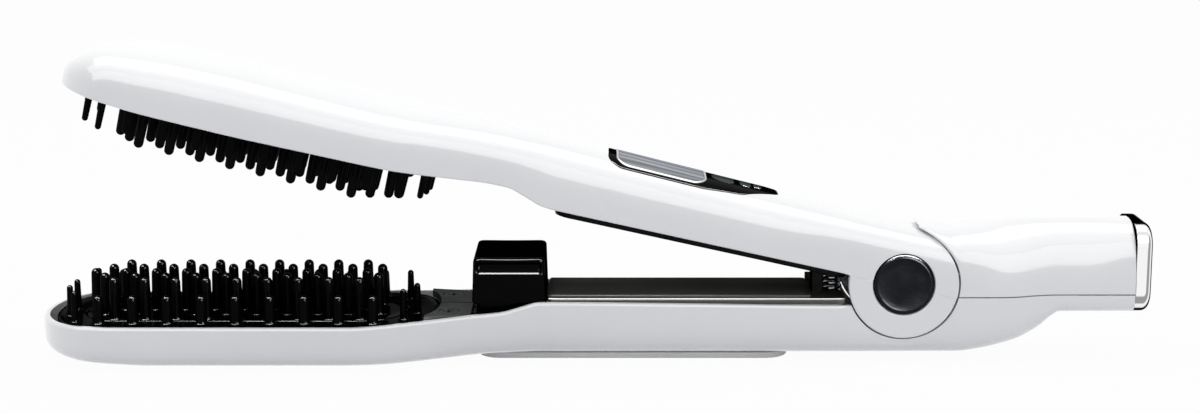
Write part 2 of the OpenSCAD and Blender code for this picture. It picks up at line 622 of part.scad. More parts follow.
// Swept round tube along a list of points
TUBE_SIDES = 8;
function unit(v) = v / norm(v);
function tangent(p, i) = unit(p[min(i + 1, len(p) - 1)] - p[max(i - 1, 0)]);
function tube_ring(c, t, up, r, sides) = let (s = unit(cross(t, up)), u = cross(s, t))
    [for (k = [0 : sides - 1]) let (a = 360 * (k + 0.5) / sides) c + r * (cos(a) * s + sin(a) * u)];
module tube(path, r, up, sides) {
    m = len(path);
    rings = [for (i = [0 : m - 1]) tube_ring(path[i], tangent(path, i), up, r, sides)];
    sides_faces = [for (j = [0 : m - 2]) for (k = [0 : sides - 1]) let (k2 = (k + 1) % sides)
        each [[j * sides + k, j * sides + k2, (j + 1) * sides + k2],
            [j * sides + k, (j + 1) * sides + k2, (j + 1) * sides + k]]];
    polyhedron([for (r = rings) each r], concat(sides_faces,
        [[for (k = [sides - 1 : -1 : 0]) k], [for (k = [0 : sides - 1]) (m - 1) * sides + k]]));
}
TUBE_R = 1.5;
tube_z = belly_z + wall + TUBE_R + 0.25;
// Smooth step for the tubes' rise and side shift
function ease(u) = u * u * (3 - 2 * u);
feed_end = gen_from + GEN_LEN + 4.4;
feed_z = plate_under - 3.2;
TUBE_BACK = 3.4;
feed_tube = [for (k = [0 : 36]) let (u = k / 36,
    x = pump_from - TUBE_BACK + (feed_end - pump_from + TUBE_BACK) * u)
    [x, 3 + 3.6 * ease(min(1, u * 8)) - 6.6 * ease(max(0, u * 4 - 3)),
        pump_z + (tube_z - pump_z) * ease(min(1, u * 9))
        + (feed_z - tube_z) * ease(min(1, max(0, u * 3 - 1.9) / 1.1))]];
suck_x = tank_x + tank_len / 2;
suck_tube = [for (k = [0 : 10]) let (u = k / 10)
    [pump_from - TUBE_BACK + (suck_x + 4.7 - pump_from + TUBE_BACK) * u, -3 + 3 * ease(u),
        pump_z + (tube_z - pump_z) * ease(min(1, u * 2.4))]];
module water_tubes() color("white") on_lower() {
    tube(feed_tube, TUBE_R, [0, 0, 1], TUBE_SIDES);
    tube(suck_tube, TUBE_R, [0, 0, 1], TUBE_SIDES);
}
BOARD_LEN = 24;
bracket_from = -12;
board_from = bracket_from - 0.8 - BOARD_LEN;
module pump_board() color("green") on_lower() {
    block([board_from, -9, belly_z + wall + 3], [board_from + BOARD_LEN, 9, belly_z + wall + 4.6]);
    for (k = [0 : 2]) translate([board_from + 8 + k * 6, -5 + 4 * k, belly_z + wall + 4.5])
        cylinder(d = 4, h = 4.5, $fn = 24);
    for (x = [3, BOARD_LEN - 3]) translate([board_from + x, 0, belly_z + wall + 0.2])
        cylinder(d = 3, h = 3);
}

// ---- hinge
core_r = 8.8;
BUSH_WALL = 1.1;
pin_r = hinge_pin_d / 2;
bush_r = pin_r + run_gap + BUSH_WALL;
bracket_floor = belly_z + wall + 0.2;
module hinge_bracket() color("gray") on_lower() difference() {
    union() {
        both_sides() {
            across(core_r, cheek_out - 3, cheek_out);
            block([-9, cheek_out - 3, -14], [9, cheek_out, 0]);
        }
        block([bracket_from, -cheek_out, -15], [20, cheek_out, -13]);
        block([-10, -6.5, bracket_floor], [16, 6.5, -14.5]);
    }
    across(bush_r + EPS, -half_handle, half_handle);
    block([-6, -4.5, bracket_floor - 1], [12, 4.5, -12]);
}
module hinge_bushes() color("goldenrod") on_lower() both_sides()
    ring_across(bush_r, pin_r + run_gap, cheek_out - 3, cheek_out);
module hinge_washers() color("white") on_lower() both_sides()
    ring_across(7, pin_r + run_gap, cheek_out + 0.04, ear_in - 0.06);
module hinge_pin() color("silver") on_lower() across(pin_r, -cap_seat + 0.1, cap_seat - 0.1);
module tail_screw() color("silver") on_lower()
    translate([tail_screw_x, 0, -tail_bottom + 0.05]) mirror([0, 0, 1]) screw(6.5);

// ---- opening stop and spring near the hinge
plate_slope = tan(open_angle);
upper_cover_t = 2;
upper_cover_z = -upper_handle_rim - 1.2;
// Height of the upper cover's top face over x, arms open
function open_top(x) = -x * plate_slope + (upper_cover_z + upper_cover_t) / cos(open_angle);
function open_under(x) = -x * plate_slope + upper_cover_z / cos(open_angle);
lip_z = open_top(post_x - 1.2) + 0.35;
module opening_stop() color("black") on_lower() {
    block([post_x, -post_w / 2, cover_z - 5], [post_x + POST_T, post_w / 2, lip_z + 1.2]);
    block([post_x - 1.2, -post_w / 2, lip_z], [post_x + EPS, post_w / 2, lip_z + 1.2]);
    block([post_x - 3, -post_w / 2, cover_z - 5], [post_x + POST_T, post_w / 2, cover_z - 3.9]);
}
CUP_DEPTH = 4;
cup_floor = -handle_rim - 0.5 - CUP_DEPTH;
module spring_cup() color("silver") on_lower() translate([spring_x, 0, cup_floor])
    difference() {
        union() {
            cylinder(r = cup_r, h = CUP_DEPTH + 0.3);
            cylinder(r = cup_r + 1.2, h = 1);
        }
        translate([0, 0, 0.8]) cylinder(r = cup_r - 0.5, h = CUP_DEPTH + 1);
        block([-cup_r - 2, -cup_r - 2, -1], [-cup_r + EPS, cup_r + 2, 2]);
    }
WIRE_D = 0.8;
CURLS = 6;
wire_r = WIRE_D / 2;
coil_r = SPRING_D / 2 - wire_r;
coil_from = cup_floor + 0.8 + wire_r + 0.05;
coil_to = open_under(spring_x + coil_r) - 2 * wire_r;
RINGS = 8;
coil = [for (k = [0 : CURLS * RINGS]) let (a = 360 * k / RINGS)
    [coil_r * cos(a), coil_r * sin(a), coil_from + (coil_to - coil_from) * k / (CURLS * RINGS)]];
// One straight wire diameter at each end
spring_path = concat([coil[0] - [0, WIRE_D, 0]], coil,
    [coil[len(coil) - 1] + [0, WIRE_D, 0]]);
spring_pitch = (coil_to - coil_from) / CURLS;
spring_gap = min([for (i = [0 : len(spring_path) - 1]) for (j = [i + 5 : 1 : len(spring_path) - 1])
    norm(spring_path[i] - spring_path[j])]) - WIRE_D;
echo(spring_least_gap = spring_gap);
module opening_spring() color("silver") on_lower() translate([spring_x, 0, 0])
    tube(spring_path, wire_r, [0, 0, 1], 6);

// ---- upper arm
cap_r = hinge_cap_d / 2;
CAP_T = 1.6;
cap_seat = ear_out - 1.3;
ear_bevel = 0.6;
trim_stations = [-ear_r - 1, -ear_r / 2, 0, ear_r / 2, ear_r + 1];
module ear_disc() {
    intersection() {
        union() {
            across(ear_r, ear_in, ear_out - ear_bevel);
            translate([0, ear_out - ear_bevel, 0]) rotate([-90, 0, 0])
                cylinder(r1 = ear_r, r2 = ear_r - ear_bevel, h = ear_bevel);
        }
        union() {
            block([-20, 0, -20], [20, 20, -upper_handle_rim + EPS]);
            closed_body([for (x = trim_stations) upper_ring(x, 0.5)]);
        }
    }
}
module upper_shell() color("white") on_upper() difference() {
    union() {
        difference() {
            open_shell(upper_rings(0), upper_rings(wall), true);
            difference() {
                block([0, -20, -20], [30, 20, 30]);
                across(ear_r, -21, 21);
            }
            panel_hole();
        }
        both_sides() ear_disc();
    }
    both_sides() across(cap_r + 0.15, cap_seat, half_handle + 5);
    across(pin_r + run_gap, -half_handle - 5, half_handle + 5);
}
module hinge_caps() color("black") on_upper() both_sides() {
    across(cap_r, cap_seat + EPS, cap_seat + CAP_T - 0.4);
    translate([0, cap_seat + CAP_T - 0.4, 0]) rotate([-90, 0, 0])
        cylinder(r1 = cap_r, r2 = cap_r - 0.6, h = 0.4);
}
upper_cover_from = tank_hole_end + 0.3;
upper_cover_half = half_handle - wall - skin_gap;
module upper_handle_cover() color("black") on_upper() difference() {
    round_plate([upper_cover_from, -upper_cover_half, upper_cover_z],
        [-ear_r - 0.6, upper_cover_half, upper_cover_z + upper_cover_t], 6);
    block([post_x - 0.9, -post_w / 2 - 0.6, upper_cover_z - 1],
        [post_x + POST_T + 0.5, post_w / 2 + 0.6, upper_cover_z + upper_cover_t + 1]);
    for (x = upper_screw_xs) translate([x, 0, upper_cover_z]) {
        translate([0, 0, -1]) cylinder(d = SCREW_HEAD_D + 0.4, h = 2.2);
        translate([0, 0, -1]) cylinder(d = screw_d + 0.2, h = 5);
    }
}
upper_screw_xs = [upper_cover_from + 10, -38];
module upper_screws() color("silver") on_upper()
    for (x = upper_screw_xs) translate([x, 0, upper_cover_z + 0.05]) mirror([0, 0, 1]) screw(6);
// Bright line between the black cover and the shell's rim
module upper_trim() color("silver") on_upper() difference() {
    round_plate([upper_cover_from + 2, -upper_cover_half + 1, upper_cover_z + upper_cover_t],
        [-ear_r - 3, upper_cover_half - 1, upper_cover_z + upper_cover_t + 0.8], 5);
    round_plate([upper_cover_from + 4, -upper_cover_half + 3, upper_cover_z],
        [-ear_r - 5, upper_cover_half - 3, upper_cover_z + upper_cover_t + 2], 4);
}
// The upper brush head leans back a little, so its pins clear the lower ones
HEAD_LEAN = 1;
upper_level = upper_head_rim - 2.6;
upper_shift = 5.4;
upper_side_shift = 6;
module on_upper_head() {
    on_upper() rotate([0, HEAD_LEAN, 0]) translate([0, 0, upper_level]) children();
}
module upper_brush_frame() color("black") on_upper_head() mirror([0, 0, 1])
    brush_frame(upper_side_shift, upper_thin);
module upper_heater_plate() color("dimgray") on_upper_head() mirror([0, 0, 1])
    heater_plate(upper_shift, UPPER_ROWS);
module upper_heaters() color("tan") on_upper_head()
    heater_bars(insert_from + 14, insert_to - 18, PLATE_T + seat_gap, 1);
module thermistor() color("silver") on_upper_head()
    translate([insert_from + 50, 0, PLATE_T + seat_gap]) {
        cylinder(d = 6, h = 2);
        translate([0, 0, 1.9]) cylinder(d = 4, h = 2);
    }

// ---- control panel on the crown
lens_from = -lens_from_hinge;
lens_to = lens_from + lens_len;
panel_from = lens_from - 2.2;
panel_to = lens_to + 22.3;
BEZEL = 0.8;
PANEL_TIP = 1;
panel_stations = [panel_from - 2, -84, -74, -64, -54, panel_to + 2];
// Teardrop: wide round end at the front, running to a narrow tip
module panel_plan(grow) {
    hull() {
        for (s = [-1, 1]) translate([panel_from + 5, s * (lens_w / 2 - 3.6)])
            circle(5 + grow, $fn = 32);
        for (s = [-1, 1]) translate([lens_to - 1, s * (lens_w / 2 - 4)]) circle(4.5 + grow, $fn = 32);
        translate([panel_to - PANEL_TIP, 0]) circle(PANEL_TIP + grow, $fn = 24);
    }
}
module lens_plan(inset) {
    hull() for (x = [lens_from + 4.5, lens_to - 4.5]) for (s = [-1, 1])
        translate([x, s * (lens_w / 2 - 4.5)]) circle(4.5 - inset, $fn = 32);
}
module panel_hole() {
    translate([0, 0, 5]) linear_extrude(20) panel_plan(0);
}
// A curved slice of the crown between two offsets from its surface
module crown_slice(above, below) {
    open_shell([for (x = panel_stations) upper_ring(x, -above)],
        [for (x = panel_stations) upper_ring(x, below)], false);
}
module control_panel() color("black") on_upper() difference() {
    intersection() {
        crown_slice(0.15, 1.6);
        translate([0, 0, 5]) linear_extrude(20) panel_plan(-0.1);
    }
    translate([0, 0, 5]) linear_extrude(20) lens_plan(-0.1);
    for (b = buttons) button_prism(b, 5, 20, key_gap);
}
module display_bezel() color("silver") on_upper() intersection() {
    crown_slice(0.55, 1.5);
    translate([0, 0, 5]) linear_extrude(20) difference() {
        lens_plan(0);
        lens_plan(BEZEL);
    }
}
module display_lens() color("gray") on_upper() intersection() {
    crown_slice(0.35, 1.4);
    translate([0, 0, 5]) linear_extrude(20) lens_plan(BEZEL + 0.05);
}
// Buttons: [centre x, length, width]
buttons = [[lens_to + 5, 7, 8.4], [lens_to + 11.9, 3.4, 4.6], [lens_to + 15.6, 2.4, 3]];
BUTTON_PROUD = 0.5;
module button_prism(b, from, to, grow) {
    r = min(b[1], b[2]) / 2 - 0.3;
    translate([0, 0, from]) linear_extrude(to - from) hull()
        for (x = [-1, 1]) for (y = [-1, 1])
            translate([b[0] + x * (b[1] / 2 - r), y * (b[2] / 2 - r)]) circle(r + grow, $fn = 32);
}
function button_top(b) = curve(b[0], upper_crowns) + BUTTON_PROUD;
module push_button(b) {
    color("black") on_upper() button_prism(b, button_top(b) - 3, button_top(b), 0);
}
module power_button() push_button(buttons[0]);
module plus_button() push_button(buttons[1]);
module minus_button() push_button(buttons[2]);
board_z = crown_h - 6.6;
module control_board() color("green") on_upper() {
    block([lens_from + 2, -9, board_z], [panel_to - 1, 9, board_z + 1.6]);
    for (x = [lens_from + 5, panel_to - 4]) for (y = [-6, 6])
        translate([x, y, upper_cover_z + upper_cover_t + seat_gap])
            cylinder(d = 3, h = board_z - upper_cover_z - upper_cover_t - seat_gap + EPS, $fn = 24);
}
module display_module() color("dimgray") on_upper()
    block([lens_from + 3, -6.5, board_z + 1.6 + EPS], [lens_to - 3, 6.5, board_z + 4.4]);
module key_switches() color("silver") on_upper() for (b = buttons)
    translate([b[0], 0, board_z + 1.6 + EPS])
        cylinder(d = 2.2, h = button_top(b) - 3 - button_travel - 0.1 - board_z - 1.6, $fn = 24);

lower_shell();
rear_cover();
end_cap();
cord_swivel();
swivel_clip();
bottom_pad();
lower_brush_frame();
lower_heater_plate();
neck_plate();
neck_screws();
lower_handle_cover();
lower_trim();
handle_screw();
water_tank();
tank_plug();
tank_seal();
steam_generator();
water_pump();
water_tubes();
lower_heaters();
thermostat();
pump_board();
hinge_bracket();
hinge_bushes();
hinge_washers();
hinge_pin();
tail_screw();
opening_stop();
spring_cup();
opening_spring();
upper_shell();
hinge_caps();
upper_handle_cover();
upper_trim();
upper_brush_frame();
upper_heater_plate();
upper_heaters();
thermistor();
upper_screws();
control_panel();
display_bezel();
display_lens();
display_module();
control_board();
key_switches();
power_button();
plus_button();
minus_button();
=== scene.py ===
"""Steam hair straightener brush: fine shells, pins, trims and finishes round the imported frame.

Shapes are worked out in millimetres from the hinge axis, with the arms' own sizes, and
placed in the frame by one of three placings: lower arm, upper arm, upper brush head.
"""
import json
import math

import bmesh
import bpy
import numpy as np
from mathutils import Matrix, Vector

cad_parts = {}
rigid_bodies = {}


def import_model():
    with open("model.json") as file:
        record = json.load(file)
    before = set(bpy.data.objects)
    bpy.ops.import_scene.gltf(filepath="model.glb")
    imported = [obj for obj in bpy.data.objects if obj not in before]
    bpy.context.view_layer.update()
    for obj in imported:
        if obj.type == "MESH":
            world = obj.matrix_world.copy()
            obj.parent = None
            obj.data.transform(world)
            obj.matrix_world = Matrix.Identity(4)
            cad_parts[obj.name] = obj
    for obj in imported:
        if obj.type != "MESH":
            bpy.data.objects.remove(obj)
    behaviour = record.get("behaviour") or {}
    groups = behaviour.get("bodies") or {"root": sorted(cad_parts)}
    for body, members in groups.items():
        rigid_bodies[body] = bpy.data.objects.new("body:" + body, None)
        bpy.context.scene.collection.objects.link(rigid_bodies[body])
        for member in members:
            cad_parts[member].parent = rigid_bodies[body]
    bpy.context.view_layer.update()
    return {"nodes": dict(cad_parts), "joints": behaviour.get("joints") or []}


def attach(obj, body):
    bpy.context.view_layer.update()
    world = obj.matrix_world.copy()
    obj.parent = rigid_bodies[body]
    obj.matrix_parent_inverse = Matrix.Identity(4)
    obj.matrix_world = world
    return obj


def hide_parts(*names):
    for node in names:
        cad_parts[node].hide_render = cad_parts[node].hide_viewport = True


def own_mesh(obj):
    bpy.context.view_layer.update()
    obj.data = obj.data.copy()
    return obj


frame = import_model()
NODES = frame["nodes"]
HINGE = next(j for j in frame["joints"] if j["name"] == "arm_hinge")
HX, HZ = 1000 * HINGE["pos_m"][0], 1000 * HINGE["pos_m"][2]
OPEN = math.radians(12.5)  # how far the arms stand open at rest
MM = 0.001

# ---- sizes, in millimetres from the hinge axis
# places along the object: tip, widest place of the nose, neck, handle, tail
TIP, NOSE, NECK, HANDLE, TAIL = -254.25, -236.3, -153.7, -108.7, 68.3
# undersides of the head and the handle
FLOOR, BELLY = -24.1, -22.3
NOSE_LEN, TIP_SETBACK = 18, 1.5
HALF_HEAD, HALF_HANDLE, HALF_TAIL = 25, 17, 13.5
WALL, SKIN_GAP = 1.8, 0.2
# ears: radius, inner and outer faces, cheek of the well they turn in and the gap round them
EAR_R, EAR_IN, EAR_OUT, CHEEK_OUT, SPLIT = 16.1, 13.7, 16.9, 13.2, 0.4
CAP_WELL_R, CAP_SEAT, EAR_STEP = 9.15, 15.6, 16.6
# rims of the lower and the upper arm, the seam of the tail, and the crowns above them
HEAD_RIM, SEAM = 11.1, -4
UP_HEAD_RIM, UP_RIM = 1.85, 0.6
HEAD_CROWN, CROWN = 18.9, 15.2
TAIL_TOP, TAIL_BOTTOM, CAP_LEN = 16.9, 10.2, 5
HEAD_LEVEL = -HEAD_RIM - 0.15
UP_LEVEL, LEAN = UP_HEAD_RIM - 2.6, math.radians(1)
CUT_DEEP, CUT_HIGH = 5, 25  # how far a cutter runs through the upper arm's crown


# ---- placings
def turn(p, a):
    """Points turned about the Y axis by a: x' = x cos a + z sin a, z' = z cos a - x sin a."""
    return np.stack([p[..., 0] * math.cos(a) + p[..., 2] * math.sin(a), p[..., 1],
                     p[..., 2] * math.cos(a) - p[..., 0] * math.sin(a)], -1)


def lower(p):
    """From millimetres at the hinge to the frame, in metres."""
    return (p + np.array([HX, 0, HZ])) * MM


def upper(p):
    """The same for the upper arm, turned by the opening angle."""
    return lower(turn(p, OPEN))


def upper_head(p):
    """The upper brush head: mirrored downwards, leaned back a little, then the upper arm."""
    return upper(turn(p * np.array([1, 1, -1]) + np.array([0, 0, UP_LEVEL]), LEAN))


# ---- meshes
def grid(rows, cols, wrap=False):
    """Quads of a rows x cols grid of points, joined end to end across the columns if wrap."""
    i, j = np.meshgrid(np.arange(rows - 1), np.arange(cols if wrap else cols - 1), indexing="ij")
    k = (j + 1) % cols
    quad = np.stack([i * cols + j, i * cols + k, (i + 1) * cols + k, (i + 1) * cols + j], -1)
    return quad.reshape(-1, 4)


def piece(name, parts, place, body, finish, replaces=(), angle=32, weld=2e-6):
    """One object from (points, quads) parts: welded, seams closed, faces outwards, smooth but
    for edges sharper than angle. It rides on its body and stands for the replaced nodes."""
    verts, faces, n = [], [], 0
    for points, quads in parts:
        flat = place(points.reshape(-1, 3))
        verts.append(flat)
        faces.append(quads + n)
        n += len(flat)
    mesh = bpy.data.meshes.new(name)
    mesh.from_pydata(np.concatenate(verts).tolist(), [], np.concatenate(faces).tolist())
    bm = bmesh.new()
    bm.from_mesh(mesh)
    bmesh.ops.remove_doubles(bm, verts=bm.verts, dist=weld)
    bmesh.ops.dissolve_degenerate(bm, edges=bm.edges, dist=weld)
    bmesh.ops.recalc_face_normals(bm, faces=bm.faces)
    bm.to_mesh(mesh)
    bm.free()
    obj = bpy.data.objects.new(name, mesh)
    bpy.context.scene.collection.objects.link(obj)
    smooth(obj, angle)
    mesh.materials.append(finish)
    if body:
        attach(obj, body)
        if replaces:
            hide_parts(*replaces)
    return obj


def smooth(obj, angle):
    """Smooth faces, with edges sharper than angle degrees kept sharp."""
    mesh = obj.data
    mesh.polygons.foreach_set("use_smooth", np.ones(len(mesh.polygons), bool))
    mesh.set_sharp_from_angle(angle=math.radians(angle))
    mesh.update()


def cut(obj, cutters, angle=32):
    """Takes the cutters' volumes out of a closed piece."""
    for c in cutters:
        m = obj.modifiers.new("cut", "BOOLEAN")
        m.operation, m.object, m.solver = "DIFFERENCE", c, "MANIFOLD"
    dg = bpy.context.evaluated_depsgraph_get()
    done = bpy.data.meshes.new_from_object(obj.evaluated_get(dg))
    obj.modifiers.clear()
    old = obj.data
    obj.data = done
    bpy.data.meshes.remove(old)
    for c in cutters:
        bpy.data.objects.remove(c)
    smooth(obj, angle)


def curve(x, table):
    """Smooth curve through [x, value] rows: cubic steps whose slope at a row is the harmonic
    mean of its two neighbours' slopes, and none at a turn, so it never overshoots."""
    t = np.array(table, float)
    xs, ys = t[:, 0], t[:, 1]
    h, d = np.diff(xs), np.diff(ys) / np.diff(xs)
    m = np.zeros(len(xs))
    same = d[:-1] * d[1:] > 0
    m[1:-1][same] = 2 * d[:-1][same] * d[1:][same] / (d[:-1] + d[1:])[same]
    c = np.clip(x, xs[0], xs[-1])
    i = np.clip(np.searchsorted(xs, c, side="right") - 1, 0, len(xs) - 2)
    u = (c - xs[i]) / h[i]
    return (ys[i] * (1 + 2 * u) * (1 - u) ** 2 + h[i] * m[i] * u * (1 - u) ** 2
            + ys[i + 1] * u * u * (3 - 2 * u) + h[i] * m[i + 1] * u * u * (u - 1))


def even(points, count):
    """A closed outline's points, evened out along its length."""
    closed = np.concatenate([points, points[:1]])
    run = np.concatenate([[0], np.cumsum(np.linalg.norm(np.diff(closed, axis=0), axis=1))])
    at = np.linspace(0, run[-1], count, endpoint=False)
    return np.stack([np.interp(at, run, closed[:, k]) for k in (0, 1)], -1)


# ---- the arms' sections along x: rims, undersides or crowns, and squareness
WIDTHS = [[NECK - 8, 25], [NECK + 2, 24.4], [NECK + 9, 22.7], [NECK + 19.8, 20],
          [NECK + 31.5, 18.2], [HANDLE + 2, 17], [TAIL - 41, 17], [TAIL - 35, 16.3],
          [TAIL - 29, 14.5], [TAIL - 23, 13.5]]
LOW_RIMS = [[TIP + 8, -10.75], [TIP + 17, -10.8], [TIP + 24, -11.1], [NECK - 8, -11.1],
            [NECK + 3, -10.55], [NECK + 18, -9.7], [NECK + 29, -8.8], [HANDLE - 9, -8.25],
            [HANDLE - 3.3, -6.8], [HANDLE + 2.5, -5.4], [-60, -5.8], [-EAR_R, -6.3],
            [EAR_R - 4, SEAM]]
LOW_BELLIES = [[TIP, FLOOR + 2.2], [TIP + 9, FLOOR + 1.8], [TIP + 15, FLOOR + 1.3],
               [TIP + 21, FLOOR + 0.7], [TIP + 27, FLOOR + 0.3], [TIP + 34, FLOOR],
               [NECK - 12, FLOOR], [NECK + 6, FLOOR + 0.4], [NECK + 18, FLOOR + 0.95],
               [NECK + 34, BELLY], [TAIL - 52, BELLY], [TAIL - 45, BELLY + 0.9],
               [TAIL - 39.5, BELLY + 2.2], [TAIL - 33.5, BELLY + 4], [TAIL - 27.6, BELLY + 7.2],
               [TAIL - 24.5, -TAIL_BOTTOM - 2.1], [TAIL - 21.5, -TAIL_BOTTOM]]
LOW_SQUARES = [[NECK, 6], [HANDLE, 4], [-30, 3.8], [EAR_R, 3.8], [TAIL, 3.4]]
UP_RIMS = [[TIP, 4.25], [TIP + 7, 4.15], [TIP + 14, 3.75], [TIP + 20, 3.25], [TIP + 27, 2.65],
           [TIP + 45, 2.1], [TIP + 60, 1.85], [NECK - 1, 1.85], [NECK + 8, 2.1],
           [NECK + 19, 2.65], [NECK + 30, 3.3], [HANDLE - 10.3, 3.2], [HANDLE - 5, 1.65],
           [HANDLE + 1, -0.3], [HANDLE + 5, -0.6]]
UP_CROWNS = [[TIP, HEAD_CROWN - 3], [TIP + 14, HEAD_CROWN - 0.9], [TIP + 25, HEAD_CROWN - 0.13],
             [TIP + 37, HEAD_CROWN + 0.5], [TIP + 50, HEAD_CROWN + 0.5],
             [NECK - 33, HEAD_CROWN + 0.1], [NECK, HEAD_CROWN - 0.6],
             [NECK + 28, HEAD_CROWN - 0.4], [-96, CROWN + 2.4], [-65, CROWN + 1.4],
             [-35, CROWN + 0.6], [0, CROWN]]
UP_SQUARES = [[NECK, 3.6], [HANDLE, 3], [-40, 3.1], [-EAR_R, 4]]
REAR_CROWNS = [[6, TAIL_TOP - 1], [9, TAIL_TOP - 1.3], [14.5, TAIL_TOP - 2.05],
               [26, TAIL_TOP - 1.2], [32, TAIL_TOP - 0.3], [40, TAIL_TOP]]
RIM_STEPS = np.array([0, 0.06, 0.14, 0.24, 0.36, 0.5, 0.68, 0.88, 1.1, 1.35])


def half_section(w, h, q, steps):
    """Half of a superellipse |y/w|^q + |z/h|^q = 1 per ring, from the rim to the apex, at
    fixed distances near the rim and even ones beyond. Returns y and z, rings x points."""
    a = np.linspace(0, math.pi / 2, 500)
    rho = (np.cos(a) ** q[:, None] + np.sin(a) ** q[:, None]) ** (-1 / q[:, None])
    y, z = w[:, None] * rho * np.cos(a), h[:, None] * rho * np.sin(a)
    y[:, -1] = 0
    length = np.concatenate([np.zeros((len(w), 1)),
                             np.cumsum(np.hypot(np.diff(y), np.diff(z)), 1)], 1)
    full = length[:, -1:]
    near = RIM_STEPS[None] * np.minimum(1, full / 6)
    far = near[:, -1:] + (full - near[:, -1:]) * np.linspace(0, 1, steps + 1)[None, 1:]
    at = np.concatenate([near, far], 1)
    ys = np.stack([np.interp(t, l, v) for t, l, v in zip(at, length, y)])
    zs = np.stack([np.interp(t, l, v) for t, l, v in zip(at, length, z)])
    return ys, zs, at


def skin(stations, inset, round_rim, tables, nose, to_the_end=False, steps=44):
    """One face of an arm's wall, rings x points. A station is (x, a): a is None past the nose,
    or the nose angle: there x = nose centre - length cos a, the half width goes with sin a and
    the height with share + (1 - share) sin^power a. inset moves the face inwards. The rim's
    edge is rounded by moving it in by r - sqrt(r^2 - (r - d)^2) at the distance d, and this
    fades out ahead of the ears unless to_the_end."""
    rims, apexes, squares, widths = tables
    x = np.array([s[0] for s in stations], float)
    a = np.array([math.pi / 2 if s[1] is None else s[1] for s in stations])
    r, b, q = curve(x, rims), curve(x, apexes), curve(x, squares)
    down = b[0] < r[0]
    b = b + inset if down else b - inset
    share, power, nose_len = nose
    h = np.abs(b - r) * (share + (1 - share) * np.sin(a) ** power)
    w = np.where(a < math.pi / 2, (HALF_HEAD - inset) * np.sin(a), curve(x, widths) - inset)
    px = np.where(a < math.pi / 2, NOSE - (nose_len - inset) * np.cos(a), x)
    y, z, at = half_section(np.maximum(w, 1e-6), h, q, steps)
    rr = abs(round_rim)
    left = np.clip(rr - at, 0, rr)
    move = (rr - np.sqrt(rr * rr - left * left)) * (1 if round_rim > 0 else -1)
    if not to_the_end:
        move = move * np.clip((-EAR_R - 0.5 - x) / 1.5, 0, 1)[:, None]
    y = np.maximum(y - move * np.sin(a)[:, None], 0)
    xx = px[:, None] + move * np.cos(a)[:, None]
    z = r[:, None] + (-z if down else z)
    return np.concatenate([np.stack([xx, y, z], -1),
                           np.stack([xx, -y, z], -1)[:, -2::-1]], 1)


def shell(outer, inner, front=False):
    """A wall from its two faces: the faces, the two rims, the rear end strip and, where the
    front isn't folded shut at a nose, the front one."""
    rows, cols = outer.shape[:2]
    n = rows * cols
    a, b = grid(rows, cols), grid(rows, cols)[:, ::-1] + n
    i = np.arange(rows - 1)
    rims = [np.stack([i * cols + c, (i + 1) * cols + c,
                      n + (i + 1) * cols + c, n + i * cols + c], -1) for c in (0, cols - 1)]
    j = np.arange(cols - 1)
    ends = [np.stack([e + j, e + j + 1, n + e + j + 1, n + e + j], -1)
            for e in ((0, (rows - 1) * cols) if front else ((rows - 1) * cols,))]
    return np.concatenate([outer, inner]), np.concatenate([a, b, *rims, *ends])


def nose_stations(count):
    """Stations round the nose, with the x = nose centre - length cos a that the section tables
    are read at."""
    return [(NOSE - NOSE_LEN * math.cos(a), a)
            for a in np.linspace(0, math.pi / 2, count + 1)[:-1]]


def spaced(x0, x1, step):
    """Stations at even steps past the nose."""
    n = max(1, int(round(abs(x1 - x0) / step)))
    return [(x, None) for x in np.linspace(x0, x1, n + 1)]


# ---- materials
def tree_of(name, color, rough, metallic=0.0, coat=0.0, specular=0.5, coat_rough=0.03):
    """A principled finish with its plain values on the shader's own sockets."""
    mat = bpy.data.materials.new(name)
    mat.use_nodes = True
    t = mat.node_tree
    p = t.nodes["Principled BSDF"]
    p.inputs["Base Color"].default_value = (*color, 1)
    p.inputs["Roughness"].default_value = rough
    p.inputs["Metallic"].default_value = metallic
    p.inputs["Specular IOR Level"].default_value = specular
    p.inputs["Coat Weight"].default_value = coat
    p.inputs["Coat Roughness"].default_value = coat_rough
    return mat, t, p


def noise(t, scale, detail=4, stretch=None, rough=0.55):
    """A noise texture on object coordinates, in repeats per metre, stretched if asked."""
    n = t.nodes.new("ShaderNodeTexNoise")
    n.inputs["Scale"].default_value = scale
    n.inputs["Detail"].default_value = detail
    n.inputs["Roughness"].default_value = rough
    c = t.nodes.new("ShaderNodeTexCoord")
    if stretch:
        m = t.nodes.new("ShaderNodeMapping")
        m.inputs["Scale"].default_value = stretch
        t.links.new(c.outputs["Object"], m.inputs["Vector"])
        t.links.new(m.outputs["Vector"], n.inputs["Vector"])
    else:
        t.links.new(c.outputs["Object"], n.inputs["Vector"])
    return n.outputs["Fac"]


def spread(t, fac, low, high, to_low, to_high):
    """Maps a pattern's low..high to two values."""
    m = t.nodes.new("ShaderNodeMapRange")
    for key, v in (("From Min", low), ("From Max", high), ("To Min", to_low), ("To Max", to_high)):
        m.inputs[key].default_value = v
    t.links.new(fac, m.inputs["Value"])
    return m.outputs["Result"]


def tint(t, fac, one, two, low=0.3, high=0.7):
    """A colour between one and two, by a pattern."""
    r = t.nodes.new("ShaderNodeValToRGB")
    r.color_ramp.elements[0].position, r.color_ramp.elements[1].position = low, high
    r.color_ramp.elements[0].color, r.color_ramp.elements[1].color = (*one, 1), (*two, 1)
    t.links.new(fac, r.inputs["Fac"])
    return r.outputs["Color"]


